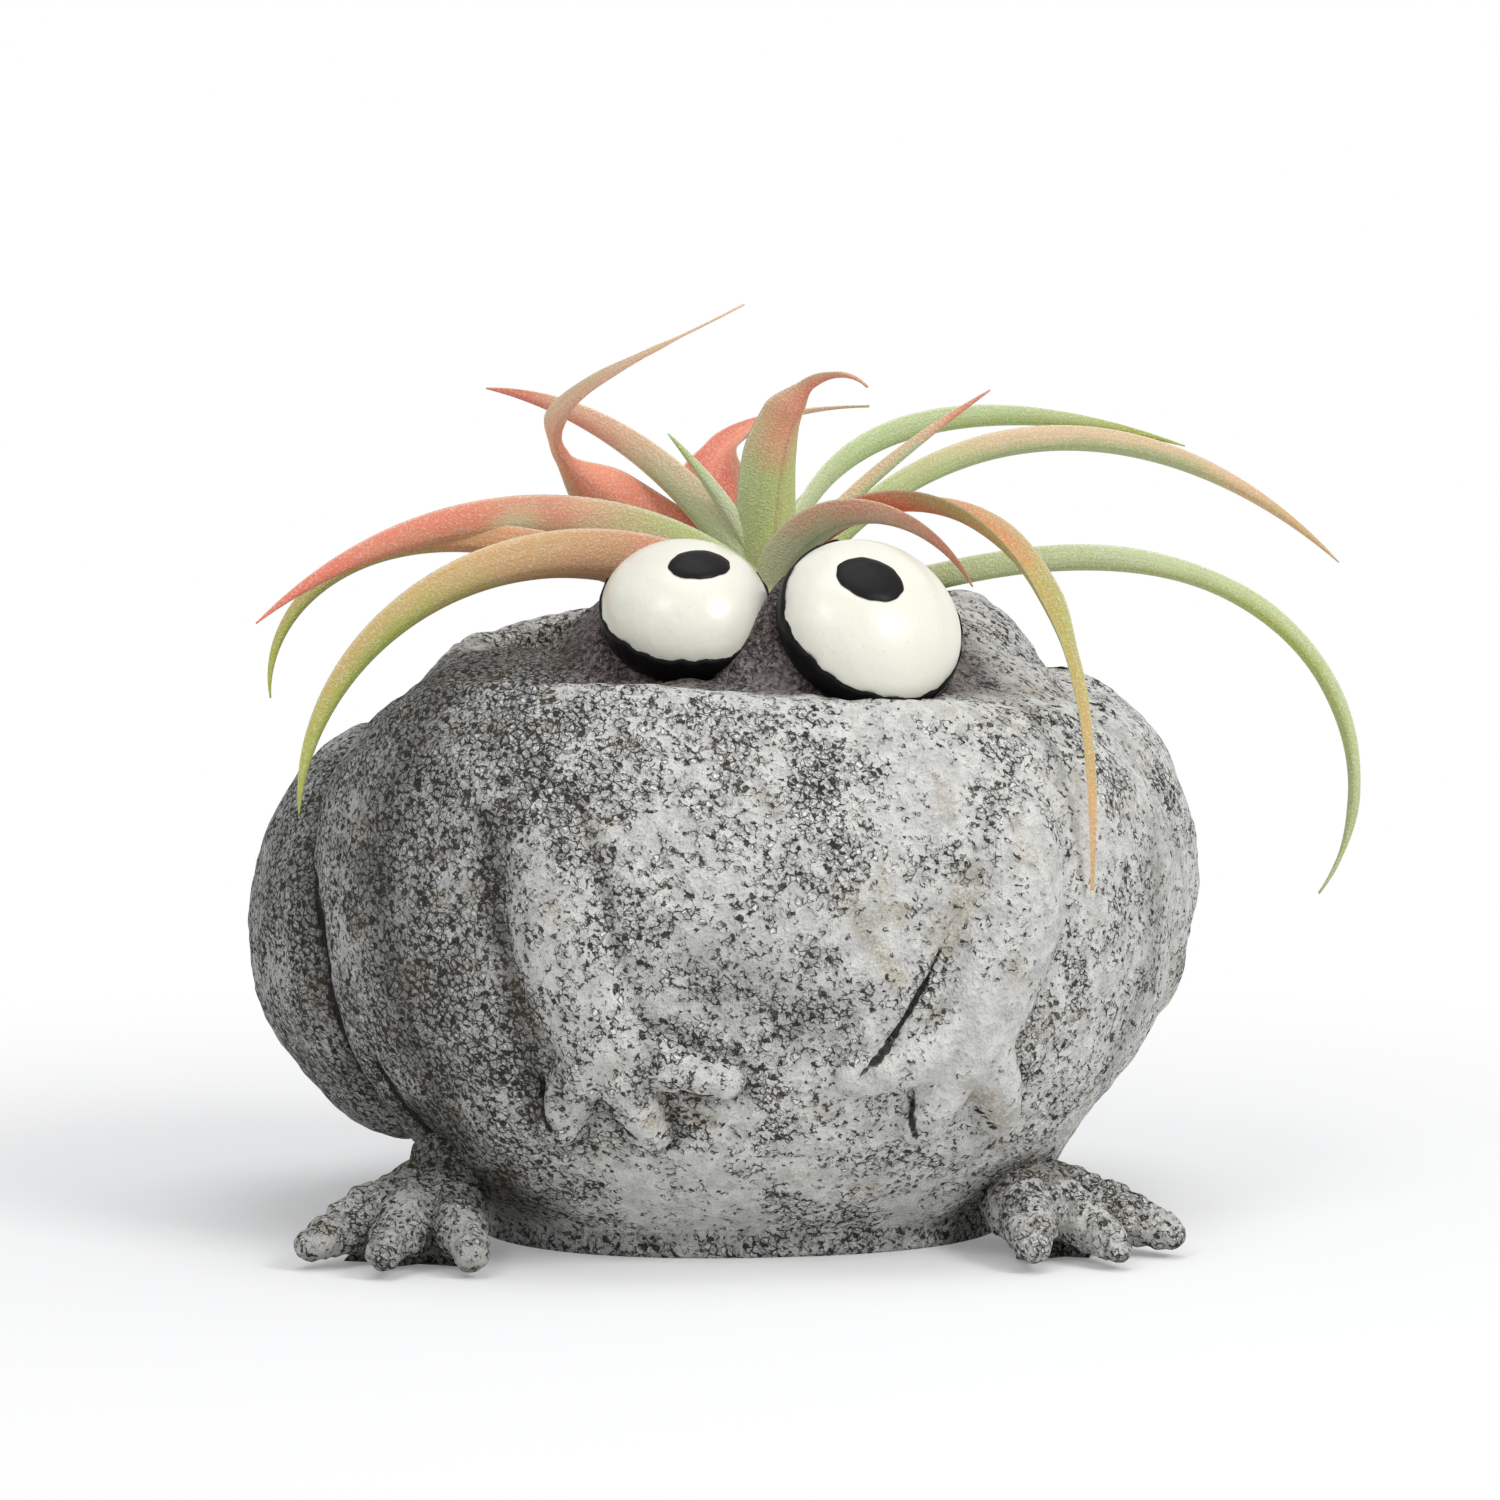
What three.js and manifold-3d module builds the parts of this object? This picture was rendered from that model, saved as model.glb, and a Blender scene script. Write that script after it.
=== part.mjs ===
// Frog planter: a squat hollow frog in cast stone with glazed eyes, whose well holds a bed of bark and
// an air plant that lifts out. Millimetres, +Z up, the frog faces -Y, origin in the middle of its flat base.
import * as THREE from 'three';
import { ParametricGeometry } from 'three/addons/geometries/ParametricGeometry.js';
import { mergeVertices } from 'three/addons/utils/BufferGeometryUtils.js';
import Module from 'manifold-3d';

// Gap between pieces that seat on each other
const SEAT_GAP = 0.3;

// Belly: its widest ring, and the roundness of its superellipse in plan and in elevation
const BELLY_HALF_WIDTH = 69;
const BELLY_FRONT = 62;
const BELLY_BACK = 63;
const BELLY_HEIGHT = 53;
const BELLY_ROUNDNESS = 2.3;

// Flat base with a low skirt round it
const BASE_HALF_WIDTH = 41;
const SKIRT_HEIGHT = 3.5;
const SKIRT_STEP = 1.2;

// Lip ledge: its slant is the rise per millimetre to the right, and its middle the y of its widest place
const LIP_HALF_WIDTH = 53.5;
const LIP_HEIGHT = 87.5;
const LIP_BACK_DROP = 8;
const LIP_SLANT = -0.07;
const LIP_MIDDLE = -12;
const LEDGE_WIDTH = 4;

// Rim of the well behind the eyes
const RIM_HEIGHT = 97.3;
const RIM_SLANT = 0.09;
const RIM_DIP = 4;
const RIM_DIP_START = 14;
const RIM_BACK_DROP = 1;
const RIM_HALF_WIDTH = 41;
const RIM_FRONT = 8;
const RIM_BACK = 38;
const RIM_WIDTH = 4;

// Well: wall, floor, the straight neck below the rim, and the shoulder where it widens
const WALL = 9;
const FLOOR_THICKNESS = 10;
const NECK_DEPTH = 14;
const SHOULDER_DEPTH = 32;

// Thighs: one ellipsoid on each side, the right one higher than the left by twice the stagger
const THIGH_OUT = 53;
const THIGH_BACK = 15;
const THIGH_HEIGHT = 49;
const THIGH_STAGGER = 3.5;
const THIGH_RADII = [23.5, 38, 34];

// Hind feet: the ankles' places beside the base, the girth of ankle and toes, and the gap under the soles
const FOOT_OUT = 4;
const FOOT_SHIFT = -5;
const FOOT_FORWARD = 26.5;
const FOOT_STAGGER = 3.5;
const SOLE_GAP = 0.5;
const ANKLE_RADIUS = 7.5;
const ANKLE_HEIGHT = 8;
const SHANK_RISE = 5;
const TOE_RADIUS = 5;
const TOE_TIP_RADIUS = 3.2;
const TOE_HEIGHT = 3.4;
const TOE_ARCH = 2;
const WEB_REACH = 0.62;
const WEB_HEIGHT = 3;

// Toes: bearing outward from straight ahead in degrees, and length
const TOES = [
  { bearing: -5, length: 30 },
  { bearing: 22, length: 31 },
  { bearing: 52, length: 29 },
];

// Arms on the belly: how far out and how high, girth, and how proud of the belly each stretch stands
const ARM = [
  { out: 36, up: 77, radius: 10, proud: 0.2 },
  { out: 36.5, up: 66, radius: 10, proud: 2.8 },
  { out: 34, up: 50, radius: 10, proud: 4 },
  { out: 28, up: 35, radius: 8.5, proud: 3.8 },
];
const FINGER_RADIUS = 3.6;
const FINGER_PROUD = 3.2;
const FINGER_TIPS = [
  { out: 9, up: 31 },
  { out: 20.5, up: 22 },
  { out: 33.7, up: 22.7 },
];

// Eyes: a dome on a black collar, held by a stem in a hole of the stone
const EYE_RISE = 9.5;
const COLLAR_HEIGHT = 3.3;
const COLLAR_TAPER = 0.8;
const EYE_STEM_RADIUS = 5;
const EYE_STEM_LENGTH = 9;
const EYE_PAD_DEPTH = 14;
const PUPIL_THICKNESS = 0.5;

// Each eye: radius, place of its foot in plan with the lift above the rim, and the way it looks
const EYES = [
  { side: 'left', radius: 13.1, place: [-11.4, -24], lift: 1.6, look: [-0.05, -0.63, 0.78] },
  { side: 'right', radius: 14.7, place: [15.9, -34], lift: -0.1, look: [0.26, -0.74, 0.62] },
];

// Pupil of each eye: half length, half width, shift to the right, climb up the dome and turn in degrees
const PUPILS = {
  left: { half: [4.9, 3.4], shift: 2, climb: 0.6, turn: 13 },
  right: { half: [4.8, 4.4], shift: -3.3, climb: 1.8, turn: 2 },
};

// Bed of bark, whose top lies below the rim, and the plant's crown that stands on it
const BED_DEPTH = 17.3;
const BED_TOP = RIM_HEIGHT - BED_DEPTH;
const CROWN_PLACE = [6.5, 10];
const CROWN_RADIUS = 7.5;
const CROWN_NECK = 4.5;
const CROWN_HEIGHT = 20;

// Leaves: thickness, depth of the channel as a share of the width, how late the width
// tapers, and the gap between two leaves that cross
const LEAF_THICKNESS = 1.3;
const LEAF_CHANNEL = 0.3;
const LEAF_TAPER = 2;
const LEAF_GAP = 0.6;

// Each leaf: its bearing about the crown (0 right, 90 back) and how far that turns along the leaf, height of
// its root above the bed, rise at the root, droop to the tip and how late it comes, length, width and roll
const LEAVES = [
  ['leaf_centre', 268, 62, 17, 86, 130, 3.5, 50, 9.5, 0],
  ['leaf_small', 185, 0, 17, 89, 41, 0.4, 33, 3.4, 45],
  ['leaf_red_back', 137, -137, 17, 58, 58, 0.8, 74, 10, 0],
  ['leaf_spike', 18, -46, 17, 71, 38, 0.4, 51, 3.4, -45],
  ['leaf_high_left', 162, -17, 15, 67, 60, 1, 64, 8, 45],
  ['leaf_right_back', 66, -63, 16, 92, 108, 0.4, 108, 6.5, -45],
  ['leaf_folded', 298, 30, 13, 85, 145, 1, 55, 7.5, -30],
  ['leaf_twisted', 121, 259, 15, 42, 17, 0.4, 103, 9, 0],
  ['leaf_right_upper', 35, -7, 12, 62, 99, 0.7, 143, 6, -50],
  ['leaf_left_upper', 183, 28, 13, 63, 96, 0.6, 97, 9.5, 50],
  ['leaf_cheek', 325.5, -52.5, 12, 103, 199, 0.6, 124, 6.5, -10],
  ['leaf_left_middle', 200, -34, 12.8, 23, 119, 2.8, 98, 6.5, 50],
  ['leaf_left_low', 214, -36, 13, 32, 120, 1.4, 106, 10, 50],
  ['leaf_right_low', 10, 5, 14, 15, 146, 2.3, 144, 5.4, -45],
].map(([name, bearing, turn, root, rise, droop, late, length, width, roll]) => (
  { name, bearing, turn, root, rise, droop, late, length, width, roll }
));

// Facets
const AROUND_BODY = 48;
const BELLY_RINGS = 12;
const HEAD_RINGS = 6;
const WELL_RINGS = 5;
const AROUND_THIGH = 24;
const AROUND_LIMB = 10;
const ALONG_LIMB = 8;
const AROUND_EYE = 28;
const DOME_RINGS = 7;
const AROUND_LEAF = 8;
const ALONG_LEAF = 14;

const wasm = await Module();
wasm.setup();

const mix = THREE.MathUtils.lerp;
const radians = THREE.MathUtils.degToRad;
const smoothstep = THREE.MathUtils.smoothstep;

// Shares from 0 to 1 in equal steps
const shares = (steps) => Array.from({ length: steps + 1 }, (_, step) => step / steps);

// A closed geometry as a solid that can be joined and cut
function solid(geometry) {
  const bare = geometry.clone();
  bare.deleteAttribute('normal');
  bare.deleteAttribute('uv');
  const merged = mergeVertices(bare, 1e-4);
  const vertProperties = merged.attributes.position.array;
  const triVerts = new Uint32Array(merged.index.array);
  return new wasm.Manifold(new wasm.Mesh({ numProp: 3, vertProperties, triVerts }));
}

// A solid as a geometry for a mesh
function skin(body) {
  const { vertProperties, triVerts } = body.getMesh();
  const geometry = new THREE.BufferGeometry();
  geometry.setAttribute('position', new THREE.BufferAttribute(vertProperties, 3));
  geometry.setIndex(new THREE.BufferAttribute(triVerts, 1));
  geometry.computeVertexNormals();
  return geometry;
}

// Closed skin through rows of points: rows[row](share of a turn) gives a point, first and last rows are poles
function loft(rows, around) {
  const last = rows.length - 1;
  const point = (turn, share, target) => target.copy(rows[Math.round(share * last)](turn));
  return solid(new ParametricGeometry(point, around, last));
}

// Share of its full girth that the belly has at a height: two arcs of a superellipse that meet at the widest
// ring, one down to the base and one up to the lip
function girth(z) {
  const below = z < BELLY_HEIGHT;
  const end = (below ? BASE_HALF_WIDTH : LIP_HALF_WIDTH) / BELLY_HALF_WIDTH;
  const span = below ? BELLY_HEIGHT - SKIRT_HEIGHT : LIP_HEIGHT - BELLY_HEIGHT;
  const reach = span / (1 - end ** BELLY_ROUNDNESS) ** (1 / BELLY_ROUNDNESS);
  const part = Math.abs(z - BELLY_HEIGHT) / reach;
  return (1 - part ** BELLY_ROUNDNESS) ** (1 / BELLY_ROUNDNESS);
}

// A ring of the body in plan: half width, reach to the front and to the back, height there, slant, and the y
// of its widest place
function ring({ half, front, back, zFront, zBack, slant, middle }) {
  const power = 2 / BELLY_ROUNDNESS;
  return (turn) => {
    const angle = turn * 2 * Math.PI;
    const ahead = Math.cos(angle);
    const aside = Math.sin(angle);
    const reach = ahead > 0 ? -(front + middle) : back - middle;
    const x = half * Math.sign(aside) * Math.abs(aside) ** power;
    const y = middle + reach * Math.abs(ahead) ** power;
    const z = mix(zBack, zFront + slant * x, smoothstep(ahead, -1, 1));
    return new THREE.Vector3(x, y, z);
  };
}

const pole = (y, z) => () => new THREE.Vector3(0, y, z);

// Share of the way from the belly's widest ring up to the lip, none below that ring
const towardLip = (z) => Math.max(0, (z - BELLY_HEIGHT) / (LIP_HEIGHT - BELLY_HEIGHT));

// Ring of the belly at a height, drawn in by an inset
function bellyRing(z, inset = 0) {
  const share = girth(z);
  return ring({
    half: BELLY_HALF_WIDTH * share - inset,
    front: BELLY_FRONT * share - inset,
    back: BELLY_BACK * share - inset,
    zFront: z,
    zBack: z - LIP_BACK_DROP * towardLip(z),
    slant: LIP_SLANT * towardLip(z),
    middle: LIP_MIDDLE * towardLip(z),
  });
}

// Ring of the head between the lip (0) and the rim of the well (1): a flat ledge in front that then rises,
// and a dome behind; toward its left end the rim dips
const RIM_MIDDLE = (RIM_BACK - RIM_FRONT) / 2;
function headRing(share) {
  const lip = girth(LIP_HEIGHT);
  const lipFront = BELLY_FRONT * lip;
  const ledge = LEDGE_WIDTH / (lipFront - RIM_FRONT);
  const rise = RIM_HEIGHT - LIP_HEIGHT;
  const even = ring({
    half: mix(LIP_HALF_WIDTH, RIM_HALF_WIDTH, share),
    front: mix(lipFront, RIM_FRONT, share),
    back: mix(BELLY_BACK * lip, RIM_BACK, share),
    zFront: LIP_HEIGHT + rise * smoothstep(share, ledge, 1),
    zBack: mix(LIP_HEIGHT - LIP_BACK_DROP, RIM_HEIGHT - RIM_BACK_DROP, Math.sin(share * Math.PI / 2)),
    slant: mix(LIP_SLANT, RIM_SLANT, share),
    middle: mix(LIP_MIDDLE, RIM_MIDDLE, share),
  });
  return (turn) => {
    const point = even(turn);
    const dip = share * RIM_DIP * smoothstep(-point.x, RIM_DIP_START, RIM_HALF_WIDTH);
    return point.setZ(point.z - dip);
  };
}

// y of the belly's front at a place
function bellyFront(x, z) {
  const share = girth(z);
  const middle = LIP_MIDDLE * towardLip(z);
  const across = Math.min(1, Math.abs(x) / (BELLY_HALF_WIDTH * share));
  const bulge = (1 - across ** BELLY_ROUNDNESS) ** (1 / BELLY_ROUNDNESS);
  return middle - (BELLY_FRONT * share + middle) * bulge;
}

// Tapered round limb along a smooth curve, with rounded ends
function limb(points, radii) {
  const curve = new THREE.CatmullRomCurve3(points);
  const frames = curve.computeFrenetFrames(ALONG_LIMB);
  const rows = shares(ALONG_LIMB).map((share, step) => {
    const place = share * (radii.length - 1);
    const before = Math.min(Math.floor(place), radii.length - 2);
    const rounding = Math.sqrt(1 - Math.abs(2 * share - 1) ** 8);
    const radius = rounding * mix(radii[before], radii[before + 1], place - before);
    const centre = curve.getPoint(share);
    return (turn) => {
      const angle = turn * 2 * Math.PI;
      return centre.clone()
        .addScaledVector(frames.normals[step], radius * Math.cos(angle))
        .addScaledVector(frames.binormals[step], radius * Math.sin(angle));
    };
  });
  return loft(rows, AROUND_LIMB);
}

// Thigh on one side (-1 left, 1 right)
function thigh(side) {
  const ball = new THREE.SphereGeometry(1, AROUND_THIGH, AROUND_THIGH / 2);
  ball.scale(...THIGH_RADII);
  ball.translate(side * THIGH_OUT, THIGH_BACK, THIGH_HEIGHT + side * THIGH_STAGGER);
  return solid(ball);
}

// Place of a limb's middle line on the belly, sunk so that it stands proud by what it says
function onBelly(side, { out, up, radius, proud }) {
  return new THREE.Vector3(side * out, bellyFront(out, up) + radius - proud, up);
}

// Arm and hand on one side
function arm(side) {
  const wrist = ARM[ARM.length - 1];
  const finger = { radius: FINGER_RADIUS, proud: FINGER_PROUD };
  const upper = limb(ARM.map((place) => onBelly(side, place)), ARM.map(({ radius }) => radius));
  return FINGER_TIPS.reduce((hand, tip) => {
    const path = shares(2).map((share) => onBelly(side, {
      out: mix(wrist.out, tip.out, share),
      up: mix(wrist.up, tip.up, share),
      ...finger,
    }));
    return hand.add(limb(path, path.map(() => FINGER_RADIUS)));
  }, upper);
}

// Foot on one side: a shank from inside the belly to the ankle, toes that spread from it and the web between
// them, flat underneath
function foot(side) {
  const x = side * (BASE_HALF_WIDTH + FOOT_OUT) + FOOT_SHIFT;
  const y = -FOOT_FORWARD - side * FOOT_STAGGER;
  const onToe = ({ bearing, length }, share, up) => {
    const aside = side * Math.sin(radians(bearing));
    const ahead = -Math.cos(radians(bearing));
    return new THREE.Vector3(x + aside * length * share, y + ahead * length * share, up);
  };
  const toes = TOES.map((toe) => {
    const path = [onToe(toe, 0, ANKLE_HEIGHT), onToe(toe, 0.5, TOE_HEIGHT + TOE_ARCH), onToe(toe, 1, TOE_HEIGHT)];
    return limb(path, [ANKLE_RADIUS, TOE_RADIUS, TOE_TIP_RADIUS]);
  });
  const web = wasm.Manifold.hull(TOES.flatMap((toe) => [
    onToe(toe, 0, ANKLE_HEIGHT),
    onToe(toe, 0, 0),
    onToe(toe, WEB_REACH, WEB_HEIGHT),
    onToe(toe, WEB_REACH, 0),
  ]).map((point) => point.toArray()));
  const shank = limb([
    new THREE.Vector3(side * BASE_HALF_WIDTH / 2, y / 2, ANKLE_HEIGHT + SHANK_RISE),
    new THREE.Vector3(side * BASE_HALF_WIDTH, y, ANKLE_HEIGHT + SHANK_RISE),
    new THREE.Vector3(x, y, ANKLE_HEIGHT),
  ], [ANKLE_RADIUS, ANKLE_RADIUS, ANKLE_RADIUS]);
  return wasm.Manifold.union([shank, web, ...toes]).trimByPlane([0, 0, 1], SOLE_GAP);
}

// Turns a geometry that stands on its own Y axis so that it stands on an eye's foot along the eye's look
function standOnEye(eye, geometry) {
  const look = new THREE.Vector3(...eye.look).normalize();
  const right = new THREE.Vector3(1, 0, 0);
  right.addScaledVector(look, -right.dot(look)).normalize();
  const near = new THREE.Vector3().crossVectors(right, look);
  const frame = new THREE.Matrix4().makeBasis(right, look, near);
  frame.setPosition(...eye.place, RIM_HEIGHT + eye.lift);
  return solid(geometry.applyMatrix4(frame));
}

// Solid of revolution on an eye, from a profile of [radius, height] above the eye's foot
function turnedOnEye(eye, profile) {
  const points = profile.map(([radius, height]) => new THREE.Vector2(radius, height));
  return standOnEye(eye, new THREE.LatheGeometry(points, AROUND_EYE));
}

// Profile of an eye's dome, grown outward by a margin
function domeProfile(eye, grown = 0) {
  return shares(DOME_RINGS).map((share) => {
    const angle = share * Math.PI / 2;
    const radius = share === 1 ? 0 : (eye.radius + grown) * Math.cos(angle);
    return [radius, (EYE_RISE + grown) * Math.sin(angle)];
  });
}

// Heights of the eye's stack, below the foot of the dome
const COLLAR_TOP = -SEAT_GAP;
const COLLAR_FOOT = COLLAR_TOP - COLLAR_HEIGHT;
const PAD_TOP = COLLAR_FOOT - SEAT_GAP;
const STEM_HOLE_RADIUS = EYE_STEM_RADIUS + SEAT_GAP;

// Pad of stone that an eye stands on
function eyePad(eye) {
  const foot = eye.radius - COLLAR_TAPER;
  return turnedOnEye(eye, [[0, -EYE_PAD_DEPTH], [eye.radius, -EYE_PAD_DEPTH], [foot, PAD_TOP], [0, PAD_TOP]]);
}

// Room cut in the stone for an eye: the hole for the stem and the space of the collar and the dome
function eyeRoom(eye) {
  const depth = -EYE_STEM_LENGTH - SEAT_GAP;
  const out = eye.radius + SEAT_GAP;
  return turnedOnEye(eye, [
    [0, depth],
    [STEM_HOLE_RADIUS, depth],
    [STEM_HOLE_RADIUS, PAD_TOP],
    [out, PAD_TOP],
    [out, EYE_RISE],
    [0, EYE_RISE],
  ]);
}

// Cream dome with its stem
function eyeDome(eye) {
  const stem = [[0, -EYE_STEM_LENGTH], [EYE_STEM_RADIUS, -EYE_STEM_LENGTH], [EYE_STEM_RADIUS, 0]];
  return turnedOnEye(eye, [...stem, ...domeProfile(eye)]);
}

// Black collar under the dome
function eyeRim(eye) {
  return turnedOnEye(eye, [
    [STEM_HOLE_RADIUS, COLLAR_FOOT],
    [eye.radius - COLLAR_TAPER, COLLAR_FOOT],
    [eye.radius, COLLAR_TOP],
    [STEM_HOLE_RADIUS, COLLAR_TOP],
    [STEM_HOLE_RADIUS, COLLAR_FOOT],
  ]);
}

// Black pupil: a thin oval shell that lies on the dome
function pupil(eye) {
  const { half, shift, climb, turn } = PUPILS[eye.side];
  const oval = new THREE.CylinderGeometry(1, 1, 2 * EYE_RISE, AROUND_EYE);
  oval.scale(half[0], 1, half[1]);
  oval.rotateY(radians(turn));
  oval.translate(shift, EYE_RISE, -climb);
  const cap = (grown) => turnedOnEye(eye, [[0, 0], ...domeProfile(eye, grown)]);
  return cap(SEAT_GAP + PUPIL_THICKNESS).subtract(cap(SEAT_GAP)).intersect(standOnEye(eye, oval));
}

// Hollow of the well with its neck, drawn in by an inset, from the floor up to a height
function well(inset, floor, ceiling) {
  const shoulder = RIM_HEIGHT - SHOULDER_DEPTH;
  const lip = RIM_WIDTH + inset;
  const mouth = (z) => ring({
    half: RIM_HALF_WIDTH - lip,
    front: RIM_FRONT - lip,
    back: RIM_BACK - lip,
    zFront: z,
    zBack: z,
    slant: 0,
    middle: RIM_MIDDLE,
  });
  const rows = [
    pole(RIM_MIDDLE, floor),
    ...shares(WELL_RINGS).map((share) => bellyRing(mix(floor, shoulder, share), WALL + inset)),
    mouth(RIM_HEIGHT - NECK_DEPTH),
    mouth(ceiling),
    pole(RIM_MIDDLE, ceiling),
  ];
  return loft(rows, AROUND_BODY);
}

// Height well above everything, to cut up to
const OVERHEAD = 2 * RIM_HEIGHT;

// The casting: belly and head, thighs, arms, feet and eye pads as one, less the well and the seats of the eyes
function frogBody() {
  const base = bellyRing(SKIRT_HEIGHT, -SKIRT_STEP);
  const rows = [
    pole(0, 0),
    (turn) => base(turn).setZ(0),
    base,
    ...shares(BELLY_RINGS).map((share) => bellyRing(mix(SKIRT_HEIGHT, LIP_HEIGHT, share))),
    ...shares(HEAD_RINGS).slice(1).map(headRing),
    pole(RIM_MIDDLE, RIM_HEIGHT),
  ];
  const limbs = [-1, 1].flatMap((side) => [thigh(side), arm(side), foot(side)]);
  const whole = wasm.Manifold.union([loft(rows, AROUND_BODY), ...limbs, ...EYES.map(eyePad)]);
  const hollows = [well(0, FLOOR_THICKNESS, OVERHEAD), ...EYES.map(eyeRoom)];
  return whole.subtract(wasm.Manifold.union(hollows));
}

// Bed of bark: the well's filling up to its flat top
function barkBed() {
  return well(SEAT_GAP, FLOOR_THICKNESS + SEAT_GAP, OVERHEAD).trimByPlane([0, 0, -1], -BED_TOP);
}

// Crown of the plant: a bulb on the bed, grown outward by a margin
function crown(grown = 0) {
  const foot = BED_TOP + SEAT_GAP;
  const bulb = [[0, 0], [CROWN_NECK, 0], [CROWN_RADIUS, 0.4], [CROWN_RADIUS, 0.6], [CROWN_NECK, 1], [0, 1]];
  const points = bulb.map(([radius, share]) => new THREE.Vector2(
    radius && radius + grown,
    foot + mix(-grown, CROWN_HEIGHT + grown, share),
  ));
  const lathe = new THREE.LatheGeometry(points, AROUND_EYE / 2);
  lathe.rotateX(Math.PI / 2);
  lathe.translate(...CROWN_PLACE, 0);
  return solid(lathe);
}

// Strap leaf, grown outward by a margin: a channelled section that narrows along a line that rises and droops
function strap(leaf, grown = 0) {
  const root = new THREE.Vector3(...CROWN_PLACE, BED_TOP + leaf.root);
  const centre = root.clone();
  const step = 1 / ALONG_LEAF;
  const roll = radians(leaf.roll);
  const heading = (share) => {
    const rise = radians(leaf.rise - leaf.droop * share ** leaf.late);
    const bearing = radians(leaf.bearing + leaf.turn * share);
    const level = new THREE.Vector3(Math.cos(bearing), Math.sin(bearing), 0);
    return level.multiplyScalar(Math.cos(rise)).setZ(Math.sin(rise));
  };
  const rows = shares(ALONG_LEAF).map((share) => {
    const bearing = radians(leaf.bearing + leaf.turn * share);
    const along = heading(share);
    const level = new THREE.Vector3(-Math.sin(bearing), Math.cos(bearing), 0);
    const aside = level.clone().applyAxisAngle(along, roll);
    const upward = new THREE.Vector3().crossVectors(along, aside);
    const blade = leaf.width * (1 - share ** LEAF_TAPER);
    const width = blade + 2 * grown;
    const stretch = grown > 0 ? Math.min(width / blade, 1.5) : 1;
    const thick = LEAF_THICKNESS * (1 - share / 2) + 2 * grown;
    const spread = share === 1 ? 0 : 1;
    const middle = centre.clone();
    centre.addScaledVector(heading(share + step / 2), leaf.length * step);
    return (turn) => {
      const angle = turn * 2 * Math.PI;
      const across = Math.cos(angle);
      const lift = LEAF_CHANNEL * blade * ((across * stretch) ** 2 - 0.5) + thick / 2 * Math.sin(angle);
      return middle.clone()
        .addScaledVector(aside, spread * across * width / 2)
        .addScaledVector(upward, spread * lift);
    };
  });
  return loft([() => root, ...rows], AROUND_LEAF);
}

// The largest body of a cut solid
function largest(body) {
  return body.decompose().reduce((most, part) => (part.volume() > most.volume() ? part : most));
}

const planter = new THREE.Group();

function addPiece(name, body, material) {
  const mesh = new THREE.Mesh(skin(body), new THREE.MeshStandardMaterial(material));
  mesh.name = name;
  planter.add(mesh);
}

const STONE = { color: 0xb4b6b6, roughness: 0.9 };
const CREAM = { color: 0xe8e6d8, roughness: 0.2 };
const BLACK = { color: 0x232426, roughness: 0.3 };
const BARK = { color: 0x5a4030, roughness: 0.95 };
const CROWN_GREEN = { color: 0x8fa070, roughness: 0.8 };
const LEAF_GREEN = { color: 0x9aa07a, roughness: 0.8 };

addPiece('frog_body', frogBody(), STONE);
for (const eye of EYES) {
  addPiece(`${eye.side}_eye`, eyeDome(eye), CREAM);
  addPiece(`${eye.side}_eye_rim`, eyeRim(eye), BLACK);
  addPiece(`${eye.side}_pupil`, largest(pupil(eye)), BLACK);
}
addPiece('bark_bed', barkBed(), BARK);
addPiece('plant_crown', crown(), CROWN_GREEN);

// Each leaf clasps the crown and gives way to the leaves before it
LEAVES.forEach((leaf, place) => {
  const inner = LEAVES.slice(0, place).map((other) => strap(other, LEAF_GAP));
  const cut = strap(leaf).subtract(wasm.Manifold.union([crown(SEAT_GAP), ...inner]));
  addPiece(leaf.name, largest(cut), LEAF_GREEN);
});

export default planter;
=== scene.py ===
import math
import bpy
import numpy as np
from mathutils import Matrix


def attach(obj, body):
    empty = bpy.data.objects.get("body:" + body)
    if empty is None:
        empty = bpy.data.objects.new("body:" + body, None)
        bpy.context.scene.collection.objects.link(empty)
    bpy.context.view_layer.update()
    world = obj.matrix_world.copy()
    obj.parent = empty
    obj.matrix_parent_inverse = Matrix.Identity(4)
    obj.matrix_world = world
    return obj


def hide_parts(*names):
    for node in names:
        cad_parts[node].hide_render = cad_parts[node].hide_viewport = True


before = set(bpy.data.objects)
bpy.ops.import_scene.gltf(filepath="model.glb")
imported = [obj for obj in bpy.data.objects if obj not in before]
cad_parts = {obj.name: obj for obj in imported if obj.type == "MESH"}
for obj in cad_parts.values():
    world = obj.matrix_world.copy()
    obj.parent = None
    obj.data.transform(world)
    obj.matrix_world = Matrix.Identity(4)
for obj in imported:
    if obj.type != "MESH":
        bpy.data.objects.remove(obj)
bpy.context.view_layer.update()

# Looks of the frog planter. Lengths are millimetres until a mesh is written in metres.
MM = 0.001

# Belly, base and skirt
BELLY_HALF_WIDTH = 69.0
BELLY_FRONT = 62.0
BELLY_BACK = 63.0
BELLY_HEIGHT = 53.0
ROUNDNESS = 2.3
BASE_HALF_WIDTH = 41.0
SKIRT_HEIGHT = 3.5
SKIRT_STEP = 1.2

# Lip ledge and rim of the well
LIP_HALF_WIDTH = 53.5
LIP_HEIGHT = 87.5
LIP_BACK_DROP = 8.0
LIP_SLANT = -0.07
LIP_MIDDLE = -12.0
LEDGE_WIDTH = 4.0
RIM_HEIGHT = 97.3
RIM_SLANT = 0.09
RIM_BACK_DROP = 1.0
RIM_HALF_WIDTH = 41.0
RIM_FRONT = 8.0
RIM_BACK = 38.0
RIM_MIDDLE = 15.0
RIM_WIDTH = 4.0
RIM_DIP = 4.0
HOLLOW_DEPTH = 2.0
NECK_DEPTH = 14.0
WALL = 9.0
SHOULDER_HEIGHT = 65.0
FLOOR_HEIGHT = 10.0
WELL_MIDDLE = (0.0, 14.0)

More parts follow.
